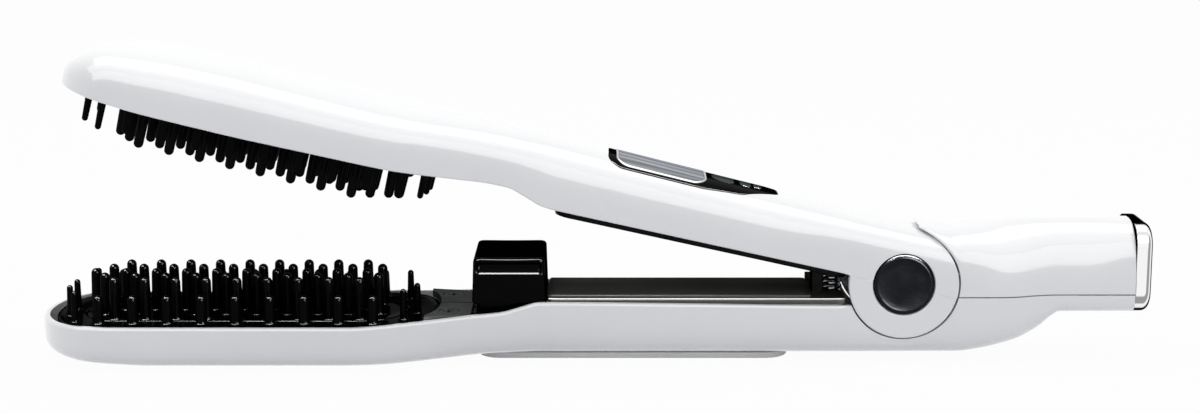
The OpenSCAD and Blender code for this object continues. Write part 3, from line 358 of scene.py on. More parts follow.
def bump(t, p, fac, strength, distance):
    """Adds a relief by a pattern, on top of the ones before it; distance is its depth in m."""
    b = t.nodes.new("ShaderNodeBump")
    b.inputs["Strength"].default_value = strength
    b.inputs["Distance"].default_value = distance
    t.links.new(fac, b.inputs["Height"])
    if p.inputs["Normal"].is_linked:
        t.links.new(p.inputs["Normal"].links[0].from_socket, b.inputs["Normal"])
    t.links.new(b.outputs["Normal"], p.inputs["Normal"])


def plastic(name, color, rough, vary=0.06, cloud=0.04, grain=0.0, grain_scale=2600, coat=0.0,
            specular=0.5, flow=None, fade=False):
    """Moulded plastic: slow cloudy change of colour, roughness that varies with handling, fine
    grain if the surface is textured, and faint flow lines along the mould. The sheen of deep
    black ones fades where they are seen at a glancing angle."""
    mat, t, p = tree_of(name, color, rough, coat=coat, specular=specular)
    if fade:
        facing = t.nodes.new("ShaderNodeLayerWeight")
        t.links.new(spread(t, facing.outputs["Facing"], 0.2, 0.78, specular, 0.0),
                    p.inputs["Specular IOR Level"])
    c = np.array(color)
    t.links.new(tint(t, noise(t, 38, 3), c * (1 - cloud), np.minimum(c * (1 + cloud), 0.98)),
                p.inputs["Base Color"])
    t.links.new(spread(t, noise(t, 120, 5), 0.3, 0.7, max(rough - vary, 0.02), rough + vary),
                p.inputs["Roughness"])
    if grain:
        bump(t, p, noise(t, grain_scale, 2, rough=0.7), grain, 0.00012)
    if flow:
        bump(t, p, noise(t, 420, 3, stretch=flow), 0.03, 0.0004)
    bump(t, p, noise(t, 70, 2), 0.02, 0.002)
    return mat


def metal(name, color, rough, brushed=None, vary=0.03, scratch=0.0, painted_reflection_bands=()):
    """Metal: brushed along the stretched axis, or polished with faint rub marks. Painted
    reflection bands, given as (facing, grey) steps, paint the base colour light or dark by the
    viewing angle, in place of a mirror that sees a dark room past the lamps; the metal's own edge
    tint is then set to black."""
    mat, t, p = tree_of(name, color, rough, metallic=1)
    lines = noise(t, 900, 4, stretch=brushed or (1, 1, 1))
    t.links.new(spread(t, lines, 0.3, 0.7, max(rough - vary, 0.02), rough + vary),
                p.inputs["Roughness"])
    c = np.array(color)
    # painted reflection: the base colour steps between greys by the viewing angle, and the metal's
    # edge tint is set to black
    if painted_reflection_bands:
        facing = t.nodes.new("ShaderNodeLayerWeight")
        ramp = t.nodes.new("ShaderNodeValToRGB")
        steps = ramp.color_ramp.elements
        while len(steps) < len(painted_reflection_bands):
            steps.new(0.5)
        for step, (at, grey) in zip(steps, painted_reflection_bands):
            step.position, step.color = at, (grey, grey, grey, 1)
        p.inputs["Specular Tint"].default_value = (0, 0, 0, 1)
        t.links.new(facing.outputs["Facing"], ramp.inputs["Fac"])
        t.links.new(ramp.outputs["Color"], p.inputs["Base Color"])
    else:
        t.links.new(tint(t, noise(t, 60, 3), c * 0.94, np.minimum(c * 1.04, 0.98)),
                    p.inputs["Base Color"])
    if scratch:
        bump(t, p, lines, scratch, 0.00005)
    return mat


WHITE = plastic("white_shell", (0.9, 0.9, 0.905), 0.18, vary=0.03, cloud=0.012, coat=1.0,
                flow=(0.15, 1, 1))
PAD = plastic("white_pad", (0.9, 0.9, 0.9), 0.42, grain=0.08)
BLACK = plastic("black_gloss", (0.002, 0.002, 0.0024), 0.1, vary=0.03, cloud=0.2, specular=0.022,
                fade=True)
PIN = plastic("black_pin", (0.0014, 0.0014, 0.0018), 0.12, vary=0.03, cloud=0.25, specular=0.032,
              flow=(1, 1, 0.12), fade=True)
PIANO = plastic("piano_black", (0.0012, 0.0012, 0.0016), 0.07, vary=0.02, cloud=0.2, specular=0.03,
                fade=True)
SATIN = plastic("dark_satin", (0.058, 0.058, 0.052), 0.42, vary=0.05, cloud=0.12, grain=0.25,
                specular=0.06, flow=(0.1, 1, 1), fade=True)
COVER = plastic("black_cover", (0.002, 0.002, 0.0025), 0.32, grain=0.12, specular=0.03, fade=True)
HINGE_BLACK = plastic("hinge_black", (0.006, 0.0075, 0.011), 0.22, vary=0.08, cloud=0.3,
                      grain=0.35, grain_scale=900, specular=0.07)
SWIVEL = plastic("swivel_grey", (0.05, 0.05, 0.052), 0.5, grain=0.2)
BRACKET = plastic("bracket_grey", (0.25, 0.25, 0.26), 0.5, grain=0.3)
NATURAL = plastic("washer_white", (0.86, 0.86, 0.84), 0.38)
MOTOR = plastic("motor_grey", (0.38, 0.38, 0.4), 0.45, grain=0.2)
HEATER = plastic("heater_film", (0.6, 0.5, 0.35), 0.4, cloud=0.1)
BOARD = plastic("circuit_board", (0.04, 0.2, 0.09), 0.35, cloud=0.15, grain=0.2, grain_scale=1200)
RUBBER = plastic("seal_rubber", (0.28, 0.28, 0.29), 0.62, grain=0.25)
KEY = plastic("key_black", (0.035, 0.046, 0.046), 0.25, vary=0.05, cloud=0.3, grain=0.1,
              specular=0.1, fade=True)
# chrome with painted reflection bands: light where it faces the view, then grey, light again, and
# near black at glancing angles
PAINTED_REFLECTION_CHROME = metal("chrome_painted_reflection", (0.86, 0.86, 0.87), 0.1, vary=0.02,
               painted_reflection_bands=((0.0, 0.92), (0.09, 0.92), (0.12, 0.32), (0.28, 0.32), (0.34, 0.95),
                      (0.5, 0.95), (0.58, 0.01), (1.0, 0.01)))
CHROME = metal("chrome", (0.86, 0.86, 0.87), 0.07, vary=0.02)
STEEL = metal("steel", (0.6, 0.6, 0.61), 0.28, brushed=(1, 14, 1), vary=0.08, scratch=0.3)
SCREW = metal("screw_steel", (0.12, 0.125, 0.135), 0.25, brushed=(6, 1, 1), vary=0.08, scratch=0.2)
WIRE = metal("spring_wire", (0.62, 0.64, 0.68), 0.16, brushed=(1, 1, 1), vary=0.06)
NECK_SCREW = plastic("neck_screw", (0.06, 0.065, 0.07), 0.35, grain=0.1, specular=0.2, fade=True)
NECK_GREY = plastic("neck_grey", (0.03, 0.034, 0.031), 0.3, vary=0.08, grain=0.15, specular=0.3,
                    fade=True)
BRONZE = metal("sintered_bronze", (0.6, 0.44, 0.22), 0.42, vary=0.1, scratch=0.4)
CAST = metal("cast_aluminium", (0.66, 0.66, 0.68), 0.45, vary=0.1, scratch=0.5)
SILVER = metal("silver_paint", (0.5, 0.5, 0.5), 0.35, vary=0.05)
TRIM = metal("satin_trim", (0.8, 0.78, 0.74), 0.2, brushed=(0.1, 6, 1), vary=0.05)


def window_grey():
    """Tinted window over a dark display: lengthwise grey streaks."""
    mat, t, p = tree_of("window_grey", (0.2, 0.21, 0.22), 0.12, specular=0.3)
    streak = noise(t, 260, 3, stretch=(0.05, 1.3, 0.0))
    t.links.new(tint(t, streak, (0.1, 0.105, 0.12), (0.42, 0.44, 0.47), 0.36, 0.64),
                p.inputs["Base Color"])
    facing = t.nodes.new("ShaderNodeLayerWeight")
    t.links.new(spread(t, facing.outputs["Facing"], 0.2, 0.8, 0.3, 0.0),
                p.inputs["Specular IOR Level"])
    t.links.new(spread(t, noise(t, 300, 4), 0.3, 0.7, 0.08, 0.2), p.inputs["Roughness"])
    return mat


LENS = window_grey()
CAD_FINISH = {
    "swivel_clip": STEEL, "neck_screws": NECK_SCREW, "handle_screw": SCREW, "hinge_pin": STEEL,
    "tail_screw": SCREW, "upper_screws": SCREW, "spring_cup": STEEL, "thermostat": STEEL,
    "thermistor": STEEL, "key_switches": STEEL, "hinge_bracket": BRACKET, "hinge_bushes": BRONZE,
    "hinge_washers": NATURAL, "water_tubes": COVER, "steam_generator": CAST,
    "water_pump": MOTOR, "display_module": MOTOR, "lower_heaters": HEATER,
    "upper_heaters": HEATER, "pump_board": BOARD, "control_board": BOARD, "tank_plug": RUBBER,
    "tank_seal": RUBBER, "cord_swivel": SWIVEL, "lower_shell": WHITE, "rear_cover": WHITE,
    "upper_shell": WHITE, "bottom_pad": PAD, "lower_brush_frame": BLACK,
    "upper_brush_frame": BLACK, "neck_plate": NECK_GREY, "lower_heater_plate": PIN,
    "upper_heater_plate": PIN, "lower_handle_cover": SATIN, "upper_handle_cover": COVER,
    "opening_stop": COVER, "hinge_caps": HINGE_BLACK, "water_tank": PIANO,
    "control_panel": PIANO, "power_button": PIANO, "plus_button": PIANO,
    "minus_button": PIANO, "end_cap": PAINTED_REFLECTION_CHROME, "display_bezel": CHROME, "lower_trim": TRIM,
    "upper_trim": COVER, "display_lens": LENS, "opening_spring": WIRE}
for node, finish in CAD_FINISH.items():
    NODES[node].data.materials.clear()
    NODES[node].data.materials.append(finish)


# ---- shells
LOW_NOSE, UP_NOSE = (0.5, 0.8, NOSE_LEN), (0.16, 1.08, NOSE_LEN - TIP_SETBACK)
LOW = (LOW_RIMS, LOW_BELLIES, LOW_SQUARES, WIDTHS)
UP = (UP_RIMS, UP_CROWNS, UP_SQUARES, WIDTHS)


def prism(name, outline, z0, z1, place):
    """A cutter: a plan outline drawn up from z0 to z1, closed at both ends."""
    m = len(outline)
    mid = outline.mean(0)
    rows = [np.column_stack([mid + (outline - mid) * f, np.full(m, z)])
            for f, z in ((0, z0), (1, z0), (1, z1), (0, z1))]
    return piece(name, [(np.stack(rows), grid(4, m, wrap=True))], place, None, WHITE)


def drum(name, r, y0, y1, place, sides=160):
    """A cutter: a cylinder across the arms."""
    a = np.linspace(0, 2 * math.pi, sides, endpoint=False)
    rows = [np.stack([f * np.cos(a), np.full(sides, y), f * np.sin(a)], -1)
            for f, y in ((0, y0), (r, y0), (r, y1), (0, y1))]
    return piece(name, [(np.stack(rows), grid(4, sides, wrap=True))], place, None, WHITE)


NOSE_RINGS, RING_GAP = 34, 1.3
low_at = nose_stations(NOSE_RINGS) + spaced(NOSE, TAIL, RING_GAP)
lower_shell = piece(
    "lower_shell_skin",
    [shell(skin(low_at, 0, 1.0, LOW, LOW_NOSE), skin(low_at, WALL, -0.25, LOW, LOW_NOSE))],
    lower, "lower_arm", WHITE, ["lower_shell"])
cut(lower_shell, [drum("ear_well_%s" % n, EAR_R + SPLIT, y0, y1, lower)
                  for n, y0, y1 in (("a", CHEEK_OUT, 22), ("b", -22, -CHEEK_OUT))])

def round_end(face, radius, rise, edge=0.5, count=14, first=False):
    """Adds rings that run on to a round cut about the hinge: x = sqrt(radius^2 - z^2) for each
    point, with the outer edge rolled over by edge. first puts them in front of the face."""
    ring = face[0 if first else -1]
    z = ring[:, 2]
    end = np.sqrt(np.maximum(radius * radius - z * z, 0.01))
    t = 1 - (1 - np.linspace(0, 1, count + 1)[1:]) ** 2
    xs = ring[None, :, 0] + t[:, None] * (end - ring[:, 0])[None]
    left = np.clip(edge - np.abs(end[None] - xs), 0, edge)
    rolled = rise * (edge - np.sqrt(edge * edge - left * left))
    out = np.stack([xs, ring[None, :, 1] * (1 - rolled / HALF_HANDLE),
                    z[None] - rolled * np.clip(z / 10, 0, 1)[None]], -1)
    return np.concatenate([out[::-1], face] if first else [face, out])


upper_at = nose_stations(NOSE_RINGS) + spaced(NOSE, 0, RING_GAP)
upper_shell = piece(
    "upper_shell_skin",
    [shell(round_end(skin(upper_at, 0, 0.55, UP, UP_NOSE), EAR_R, 1),
           round_end(skin(upper_at, WALL, -0.3, UP, UP_NOSE), EAR_R, 0))],
    upper, "upper_arm", WHITE)


# ---- panel on the crown
LENS_FROM, LENS_LEN, LENS_W, LENS_R = -89.8, 27.5, 22, 4.5
LENS_TO = LENS_FROM + LENS_LEN
PANEL_FROM, PANEL_TO = LENS_FROM - 2.2, LENS_TO + 22.3


def hull_plan(circles, count=160):
    """Plan outline of the hull round circles (x, y, r): at each heading the farthest support
    point, then evened out along its length."""
    a = np.linspace(-math.pi, math.pi, 1440, endpoint=False)
    c = np.array(circles, float)
    reach = c[:, :1] * np.cos(a) + c[:, 1:2] * np.sin(a) + c[:, 2:]
    best = reach.argmax(0)
    pts = c[best, :2] + c[best, 2:] * np.stack([np.cos(a), np.sin(a)], -1)
    return even(pts, count)


def panel_plan(grow):
    """Plan of the panel: broad at the window, drawn in to a narrow end past the keys."""
    return hull_plan([(x, s * y, r + grow) for s in (-1, 1) for x, y, r in (
        (PANEL_FROM + 5, 7, 5), (LENS_TO - 1, 7.6, 4.5), (LENS_TO + 9, 6, 5),
        (PANEL_TO - 3, 2.6, 2.5))], 260)


def lens_plan(inset):
    """Plan of the window: a rounded rectangle."""
    return hull_plan([(x, s * (LENS_W / 2 - LENS_R), LENS_R - inset)
                      for x in (LENS_FROM + LENS_R, LENS_TO - LENS_R) for s in (-1, 1)])


# each key: middle, length, width, name
BUTTONS = [(LENS_TO + 5, 7, 11.5, "power"), (LENS_TO + 11.9, 3.4, 7.5, "plus"),
           (LENS_TO + 15.6, 2.4, 5, "minus")]


def button_plan(b, grow):
    """Plan of a key: a rectangle whose corners are nearly as round as it is narrow."""
    r = min(b[1], b[2]) / 2 - 0.3
    return hull_plan([(b[0] + x * (b[1] / 2 - r), y * (b[2] / 2 - r), r + grow)
                      for x in (-1, 1) for y in (-1, 1)], 64)


def crown(x, y):
    """Height of the upper arm's outside over a plan point: rim + height (1 - |y/w|^q)^(1/q)."""
    r, b, q, w = curve(x, UP_RIMS), curve(x, UP_CROWNS), curve(x, UP_SQUARES), curve(x, WIDTHS)
    return r + (b - r) * np.maximum(1 - np.minimum(np.abs(y) / w, 1) ** q, 0) ** (1 / q)


def slab(outline, spine, top, bottom, edge=0.3, foot=0.0, rings=7, steps=4):
    """A plate over a plan outline: rings run from the spine out to the edge, roll over by a
    quarter circle of radius edge, go down and close below. top and bottom give z over x, y."""
    out = outline - spine
    out = out / np.maximum(np.linalg.norm(out, axis=1, keepdims=True), 1e-9)
    flat_to = outline - out * edge
    rows = []
    for f in np.linspace(0, 1, rings)[:-1]:
        p = spine + (flat_to - spine) * f
        rows.append(np.column_stack([p, top(p[:, 0], p[:, 1])]))
    for g in np.linspace(0, math.pi / 2, steps + 1):
        p = outline - out * edge * (1 - math.sin(g))
        rows.append(np.column_stack([p, top(p[:, 0], p[:, 1]) - edge * (1 - math.cos(g))]))
    for g in np.linspace(0, math.pi / 2, steps + 1) if foot else [math.pi / 2]:
        p = outline - out * foot * (1 - math.cos(g))
        rows.append(np.column_stack([p, bottom(p[:, 0], p[:, 1]) + foot * (1 - math.sin(g))]))
    inner = outline - out * foot
    for f in np.linspace(1, 0, 3)[1:]:
        p = spine + (inner - spine) * f
        rows.append(np.column_stack([p, bottom(p[:, 0], p[:, 1])]))
    v = np.stack(rows)
    return v, grid(len(rows), len(outline), wrap=True)


def flat(z):
    """A level face for slab, at the height z."""
    return lambda x, y: np.full(np.shape(x), float(z))


def along(outline, x0, x1, y=0.0):
    """Spine of an outline: each point's nearest place on a line from x0 to x1."""
    return np.column_stack([np.clip(outline[:, 0], x0, x1), np.full(len(outline), y)])


panel = panel_plan(-0.1)
panel_piece = piece("panel_face", [slab(
    panel, along(panel, PANEL_FROM + 9, PANEL_TO - 2), lambda x, y: crown(x, y) + 0.12,
    lambda x, y: crown(x, y) - 1.6, edge=0.25, rings=16)], upper, "upper_arm", PIANO,
    ["control_panel"])
cut(panel_piece, [prism("lens_well", lens_plan(-0.1), CUT_DEEP, CUT_HIGH, upper)]
    + [prism("button_well", button_plan(b, 0.25), CUT_DEEP, CUT_HIGH, upper) for b in BUTTONS])
cut(upper_shell, [prism("panel_well", panel_plan(0.12), CUT_DEEP, CUT_HIGH, upper),
                  drum("cap_well_a", CAP_WELL_R, 15.5, 22, upper),
                  drum("cap_well_b", CAP_WELL_R, -22, -15.5, upper)])

lens = lens_plan(0.85)
piece("display_window", [slab(lens, along(lens, LENS_FROM + 9, LENS_TO - 9),
                              lambda x, y: crown(x, y) + 0.3, lambda x, y: crown(x, y) - 1.4,
                              edge=0.15, rings=10)],
      upper, "upper_arm", LENS, ["display_lens"])


def band(outer, inner, top, bottom, edge):
    """A ring between two outlines with a rounded crest, closed below."""
    rows = []
    for g in np.linspace(0, math.pi, 9):
        f = (1 - math.cos(g)) / 2
        p = outer + (inner - outer) * f
        rows.append(np.column_stack([p, top(p[:, 0], p[:, 1]) - edge * (1 - math.sin(g))]))
    for p in (inner, outer):
        rows.append(np.column_stack([p, bottom(p[:, 0], p[:, 1])]))
    rows.append(rows[0])
    return np.stack(rows), grid(len(rows), len(outer), wrap=True)


piece("window_bezel", [band(lens_plan(0.1), lens_plan(0.8), lambda x, y: crown(x, y) + 0.42,
                            lambda x, y: crown(x, y) - 1.5, 0.35)],
      upper, "upper_arm", SILVER, ["display_bezel"])

for b in BUTTONS:
    plan = button_plan(b, 0)
    mid = np.tile([b[0], 0.0], (len(plan), 1))
    top_z = float(curve(np.array(b[0]), UP_CROWNS)) + 0.5
    piece("%s_key" % b[3], [slab(
        plan, mid, lambda x, y: top_z - 0.02 * ((x - b[0]) ** 2 + y ** 2), flat(top_z - 3),
        edge=0.35, rings=8, steps=5)], upper, "%s_key" % b[3], KEY,
        ["%s_button" % b[3]])


# ---- ears and hinge caps
def dish(profile, sides=144):
    """A turned form across the arms from (radius, y) rows."""
    a = np.linspace(0, 2 * math.pi, sides, endpoint=False)
    r, y = np.array(profile, float).T
    return np.stack([r[:, None] * np.cos(a), np.repeat(y[:, None], sides, 1),
                     r[:, None] * np.sin(a)], -1), grid(len(r), sides, wrap=True)


def roll(r, y, edge, steps=6, sign=1):
    """Quarter round from a face at y to a rim at radius r."""
    g = np.linspace(0, math.pi / 2, steps + 1)
    return [(r - edge * (1 - math.sin(k)), y - sign * edge * (1 - math.cos(k))) for k in g]


ears = []
for s in (-1, 1):
    rows = ([(CAP_WELL_R, s * CAP_SEAT), (CAP_WELL_R, s * (EAR_OUT - 0.25))]
            + [(CAP_WELL_R + 0.25 * (1 - math.cos(g)), s * (EAR_OUT - 0.25 * (1 - math.sin(g))))
               for g in np.linspace(0, math.pi / 2, 4)[1:]]
            + [(r, s * EAR_OUT) for r in (11, 13, 15)]
            + roll(EAR_R, s * EAR_OUT, 0.7, sign=s)
            + [(EAR_R, s * EAR_IN), (4, s * EAR_IN), (4, s * CAP_SEAT),
               (CAP_WELL_R, s * CAP_SEAT)])
    v, f = dish(rows)
    # above the rim the ear is part of the arm's side, so it steps back under the shell there
    over = v[..., 2] > -UP_RIM
    v[..., 1] = np.where(over & (np.abs(v[..., 1]) > EAR_STEP), s * EAR_STEP, v[..., 1])
    v[..., 2] = np.minimum(v[..., 2], 3)
    ears.append((v, f))
piece("hinge_ears", ears, upper, "upper_arm", WHITE, ["upper_shell"])
caps = []
for s in (-1, 1):
    face = [(0, 16.95), (3, 16.96), (5.5, 17.0), (7.3, 17.06), (7.6, 17.12), (7.85, 17.17),
            (8.05, 17.14), (8.5, 16.86), (8.8, 16.6), (8.96, 16.3), (9.0, 15.9), (9.0, 15.65),
            (0, 15.65)]
    caps.append(dish([(r, s * y) for r, y in face]))
piece("hinge_cap_faces", caps, upper, "upper_arm", HINGE_BLACK, ["hinge_caps"])

# ---- rear cover, from its round front edge to the tail
LIP_X, LEAD_FROM, LEAD_TO, LEAD_ROLL = 5.4, 3, 17.5, 0.5
REAR = ([[-20, SEAM + 0.28], [80, SEAM + 0.28]], REAR_CROWNS,
        [[10, 3.6], [20, 2.9], [32, 2.0], [55, 2.0], [TAIL, 2.5]], WIDTHS)
rear_at = spaced(LEAD_TO, TAIL, 1.2)


def rear_face(inset, rim, rise):
    """The cover's face, run forward to the round cut round the ears."""
    body = skin(rear_at, inset, rim, REAR, LOW_NOSE, to_the_end=True)
    lead_x = np.linspace(LEAD_FROM, LEAD_TO, 24)
    lead = skin([(x, None) for x in lead_x], inset, rim, REAR, LOW_NOSE, to_the_end=True)[:-1]
    z = lead[..., 2]
    begin = np.maximum(np.sqrt(np.maximum((EAR_R + SPLIT) ** 2 - z * z, 0)), LIP_X)
    t = ((lead_x[:-1] - LEAD_FROM) / (LEAD_TO - LEAD_FROM))[:, None]
    lead[..., 0] = begin + (LEAD_TO - begin) * t ** 1.5
    left = np.clip(LEAD_ROLL - (lead[..., 0] - begin), 0, LEAD_ROLL)
    off = (LEAD_ROLL - np.sqrt(LEAD_ROLL ** 2 - left * left)) * rise
    lead[..., 1] *= 1 - off / HALF_HANDLE
    lead[..., 2] -= off * np.clip(z / 10, 0, 1)
    return np.concatenate([lead, body])


piece("rear_cover_skin", [shell(rear_face(0, 0.15, 1), rear_face(WALL, -0.15, 0), True)],
      lower, "lower_arm", WHITE, ["rear_cover"])


# ---- end cap
def rounded_box(w, h, r, count=200):
    """Outline in y, z of a rounded rectangle, evened out along its length."""
    return hull_plan([(y * (w - r), z * (h - r), r) for y in (-1, 1) for z in (-1, 1)], count)


INLET = (TAIL_TOP - TAIL_BOTTOM) / 2
TAIL_H = (TAIL_TOP + TAIL_BOTTOM) / 2


def end_cap():
    """Plated cap: rounded box sections, a roll onto the rear face, then in to the hole."""
    rows = []
    half_w, half_h, corner, hole, edge = HALF_TAIL - 0.3, TAIL_H - 0.3, 6.7, 6.46, 2.2
    x0, x1 = TAIL + 0.1, TAIL + CAP_LEN
    steps = [(0.25, 0.0), (0.1, 0.05), (0, 0.2)] + [(0, v) for v in (0.9, 1.7, 2.4)]
    steps += [(edge * (1 - math.cos(g)), CAP_LEN - 0.1 - edge + edge * math.sin(g))
              for g in np.linspace(0, math.pi / 2, 12)]
    for inset, dx in steps:
        p = rounded_box(half_w - inset, half_h - inset, corner - inset)
        rows.append(np.column_stack([np.full(len(p), x0 + dx), p[:, 0], p[:, 1] + INLET]))
    p = rows[-1][:, 1:] - [0, INLET]
    radial = p / np.linalg.norm(p, axis=1, keepdims=True)
    for f, dx in ((0.35, 0), (0.7, 0), (0.94, -0.02), (0.97, -0.06), (1, -0.2), (1, -4)):
        q = p + (radial * hole - p) * f
        rows.append(np.column_stack([np.full(len(q), x1 + dx), q[:, 0], q[:, 1] + INLET]))
    rows.append(np.column_stack([np.full(len(p), x0), radial * hole + [0, INLET]]))
    rows.append(rows[0])
    return np.stack(rows), grid(len(rows), len(p), wrap=True)


# the end cap's colour carries painted reflection bands
piece("chrome_end", [end_cap()], lower, "lower_arm", PAINTED_REFLECTION_CHROME, ["end_cap"])


# ---- brush heads
def arc(cx, rx, ry, a0, a1, n):
    """n points of an ellipse round (cx, 0), from a0 to a1 degrees."""
    a = np.radians(np.linspace(a0, a1, n))
    return np.stack([cx + rx * np.cos(a), ry * np.sin(a)], -1)


INSERT_FROM, INSERT_TO, HALF_INSERT = TIP + 12.2, NECK + 7.5, HALF_HEAD - 10.2
FRAME_FROM, FRAME_TO, HALF_FRAME = TIP + 4, NECK + 17.2, 23.0


INSERT_NOSE, INSERT_END, FRAME_END = 11, 13, 8


def insert_plan(grow, count=240):
    """Plan of the pin plate: straight sides between two half ellipses."""
    return even(np.concatenate([
        arc(INSERT_TO - INSERT_END, INSERT_END + grow, HALF_INSERT + grow, -90, 90, 60),
        arc(INSERT_FROM + INSERT_NOSE, INSERT_NOSE + grow, HALF_INSERT + grow, 90, 270, 60)]),
        count)


def frame_plan(count=240):
    """Plan of the frame: the arm's inner width along its sides, with an ellipse at each end."""
    end = FRAME_TO - FRAME_END
    side = np.linspace(NOSE + 2, end, 40)
    w = curve(side, WIDTHS) - WALL - SKIN_GAP
    end_w = float(curve(np.array(end), WIDTHS)) - WALL - SKIN_GAP - 0.6
    return even(np.concatenate([
        np.stack([side, -w], -1), arc(end, FRAME_END, end_w, -84, 84, 50),
        np.stack([side, w], -1)[::-1],
        arc(NOSE, NOSE - FRAME_FROM, HALF_FRAME, 90, 270, 70)]), count)


PITCH, ROW_GAP, SIDE_PITCH, PIN_D, PIN_H = 9, 6.2, 10, 3.4, 12.6
PIN_SIDES = 22


def turned(profile, places, sides=PIN_SIDES):
    """The same turned form at each place: profile rows are (radius, height)."""
    a = np.linspace(0, 2 * math.pi, sides, endpoint=False)
    r, z = np.array(profile, float).T
    ring = np.stack([r[:, None] * np.cos(a), r[:, None] * np.sin(a),
                     np.repeat(z[:, None], sides, 1)], -1)
    at = np.array(places, float)
    at = np.column_stack([at, np.zeros(len(at))]) if at.shape[1] == 2 else at
    v = (ring[None] + at[:, None, None]).reshape(-1, 3)
    f = grid(len(r), sides, wrap=True)
    n = len(r) * sides
    f = (f[None] + (np.arange(len(at)) * n)[:, None, None]).reshape(-1, 4)
    return v, f


def pin_profile(r, tip, height, flare=0.6, flare_h=0.8, below=0.3):
    """Flared foot, slender taper and a ball tip."""
    foot = [(0, -below), (r + flare, -below), (r + flare, 0)]
    foot += [(r + flare * (1 - math.sin(g)), flare_h * (1 - math.cos(g)))
             for g in np.linspace(0, math.pi / 2, 6)[1:]]
    shaft = [(r + (tip - r) * u, flare_h + (height - tip - flare_h) * u) for u in (0.3, 0.65, 1)]
    ball = [(tip * math.cos(g), height - tip + tip * math.sin(g))
            for g in np.linspace(0, math.pi / 2, 9)[1:]]
    return foot + shaft + ball


def long_pins(shift, counts):
    """Five rows of pins on the plate; the outer rows start later, as the plate is round."""
    return [(INSERT_FROM + 2.8 + 4 * abs(k) + shift + i * PITCH, k * ROW_GAP)
            for k in range(-2, 3) for i in range(counts[abs(k)])]


def side_pins(shift):
    """A row of short pins on each side of the frame."""
    return [(TIP + 19.3 + shift + i * SIDE_PITCH, s * (HALF_HEAD - 7))
            for s in (-1, 1) for i in range(9)]


LOW_THIN = [(TIP + 12, -16), (TIP + 8.9, -8), (TIP + 9.2, 0), (TIP + 12, 16),
            (NECK + 7.3, -13), (NECK + 10.8, -5), (NECK + 7.3, 13)]
UP_THIN = [(TIP + dx, s * y) for s in (-1, 1) for dx, y in ((11.3, 9.5), (17, 17.5))] + [
    (NECK + 10.4, -8.2), (NECK + 11.6, 0), (NECK + 12.1, 8.2)]


def frame_form():
    """The frame round the pin plate: a flat margin with a low raised bead at its outer edge
    and a rounded step down at its opening, closed below."""
    outer, inner = frame_plan(), insert_plan(SKIN_GAP)
    # the opening's points are matched to the outline's by heading from the middle
    mid = (FRAME_FROM + FRAME_TO) / 2

    def heading(p):
        """Heading of each point on the frame scaled to a circle, from 0 to 2 pi."""
        return np.mod(np.unwrap(np.arctan2(p[:, 1] / HALF_FRAME, (p[:, 0] - mid) / 57)),
                      2 * math.pi)

    inner_at = heading(inner)
    order = np.argsort(inner_at)
    key = inner_at[order]
    key = np.concatenate([key - 2 * math.pi, key, key + 2 * math.pi])
    ring = np.tile(inner[order], (3, 1))
    inner = np.stack([np.interp(heading(outer), key, ring[:, k]) for k in (0, 1)], -1)
    out = outer - inner
    out /= np.linalg.norm(out, axis=1, keepdims=True)
    rows = []
    for inset, z in ((0.0, -2.0), (0.0, -0.3), (0.09, -0.08), (0.3, 0.0), (0.9, 0.0),
                     (1.15, -0.03), (1.35, -0.18), (1.6, -0.28), (2.2, -0.3)):
        p = outer - out * inset
        rows.append(np.column_stack([p, np.full(len(p), z)]))
    for inset, z in ((1.2, -0.3), (0.7, -0.27), (0.3, -0.2), (0.08, -0.35), (0.0, -0.6),
                     (0.0, -2.0)):
        p = inner + out * inset
        rows.append(np.column_stack([p, np.full(len(p), z)]))
    rows.append(rows[0])
    return np.stack(rows), grid(len(rows), len(outer), wrap=True)


def head_pieces(tag, body, place, counts, shift, side_shift, thin, thin_h, tip):
    """Pin plate with its long pins, and the frame with its short side pins and thin end pins."""
    plan = insert_plan(0)
    plate = slab(plan, along(plan, INSERT_FROM + INSERT_NOSE, INSERT_TO - INSERT_END),
                 flat(0), flat(-2),
                 edge=0.4, rings=6)
    pins = turned(pin_profile(PIN_D / 2, tip, PIN_H), long_pins(shift, counts))
    piece(tag + "_pins", [plate, pins], place, body, PIN, [tag + "_heater_plate"])
    side = turned(pin_profile(PIN_D / 2, PIN_D / 2 - 0.2, 8.4), side_pins(side_shift))
    ends = turned(pin_profile(1.1, 0.9, thin_h, flare=0.5, flare_h=0.7), thin, 18)
    piece(tag + "_frame", [frame_form(), side, ends], place, body, BLACK,
          [tag + "_brush_frame"])


head_pieces("lower", "lower_arm", lambda p: lower(p + np.array([0, 0, HEAD_LEVEL])),
            [10, 10, 9], 0, 0, LOW_THIN, 9.2, 1.45)
head_pieces("upper", "upper_arm", upper_head, [10, 9, 8], 5.4, 6, UP_THIN, 9, 1.4)

# ---- handle cover, its ledge and trims, and the upper strip
TANK_X, TANK_LEN = HANDLE - 17.5, 21.7
COVER_FROM, COVER_Z, SLAB_TO, COVER_HALF = TANK_X + TANK_LEN + 0.6, -4.15, -26.5, 12.1
LEDGE_TO, LEDGE_HALF, LIP_HALF, GUARD_Y = -16.7, 15.0, 14.3, 12.9


def round_rect(x0, x1, half, r, count=160):
    """Plan of a rectangle with corners of radius r."""
    return hull_plan([(x, s * (half - r), r) for x in (x0 + r, x1 - r) for s in (-1, 1)], count)


def mid_line(p, x0, x1, half):
    """Spine of a rectangle's plan."""
    r = min(half, (x1 - x0) / 2)
    return along(p, x0 + r, x1 - r)


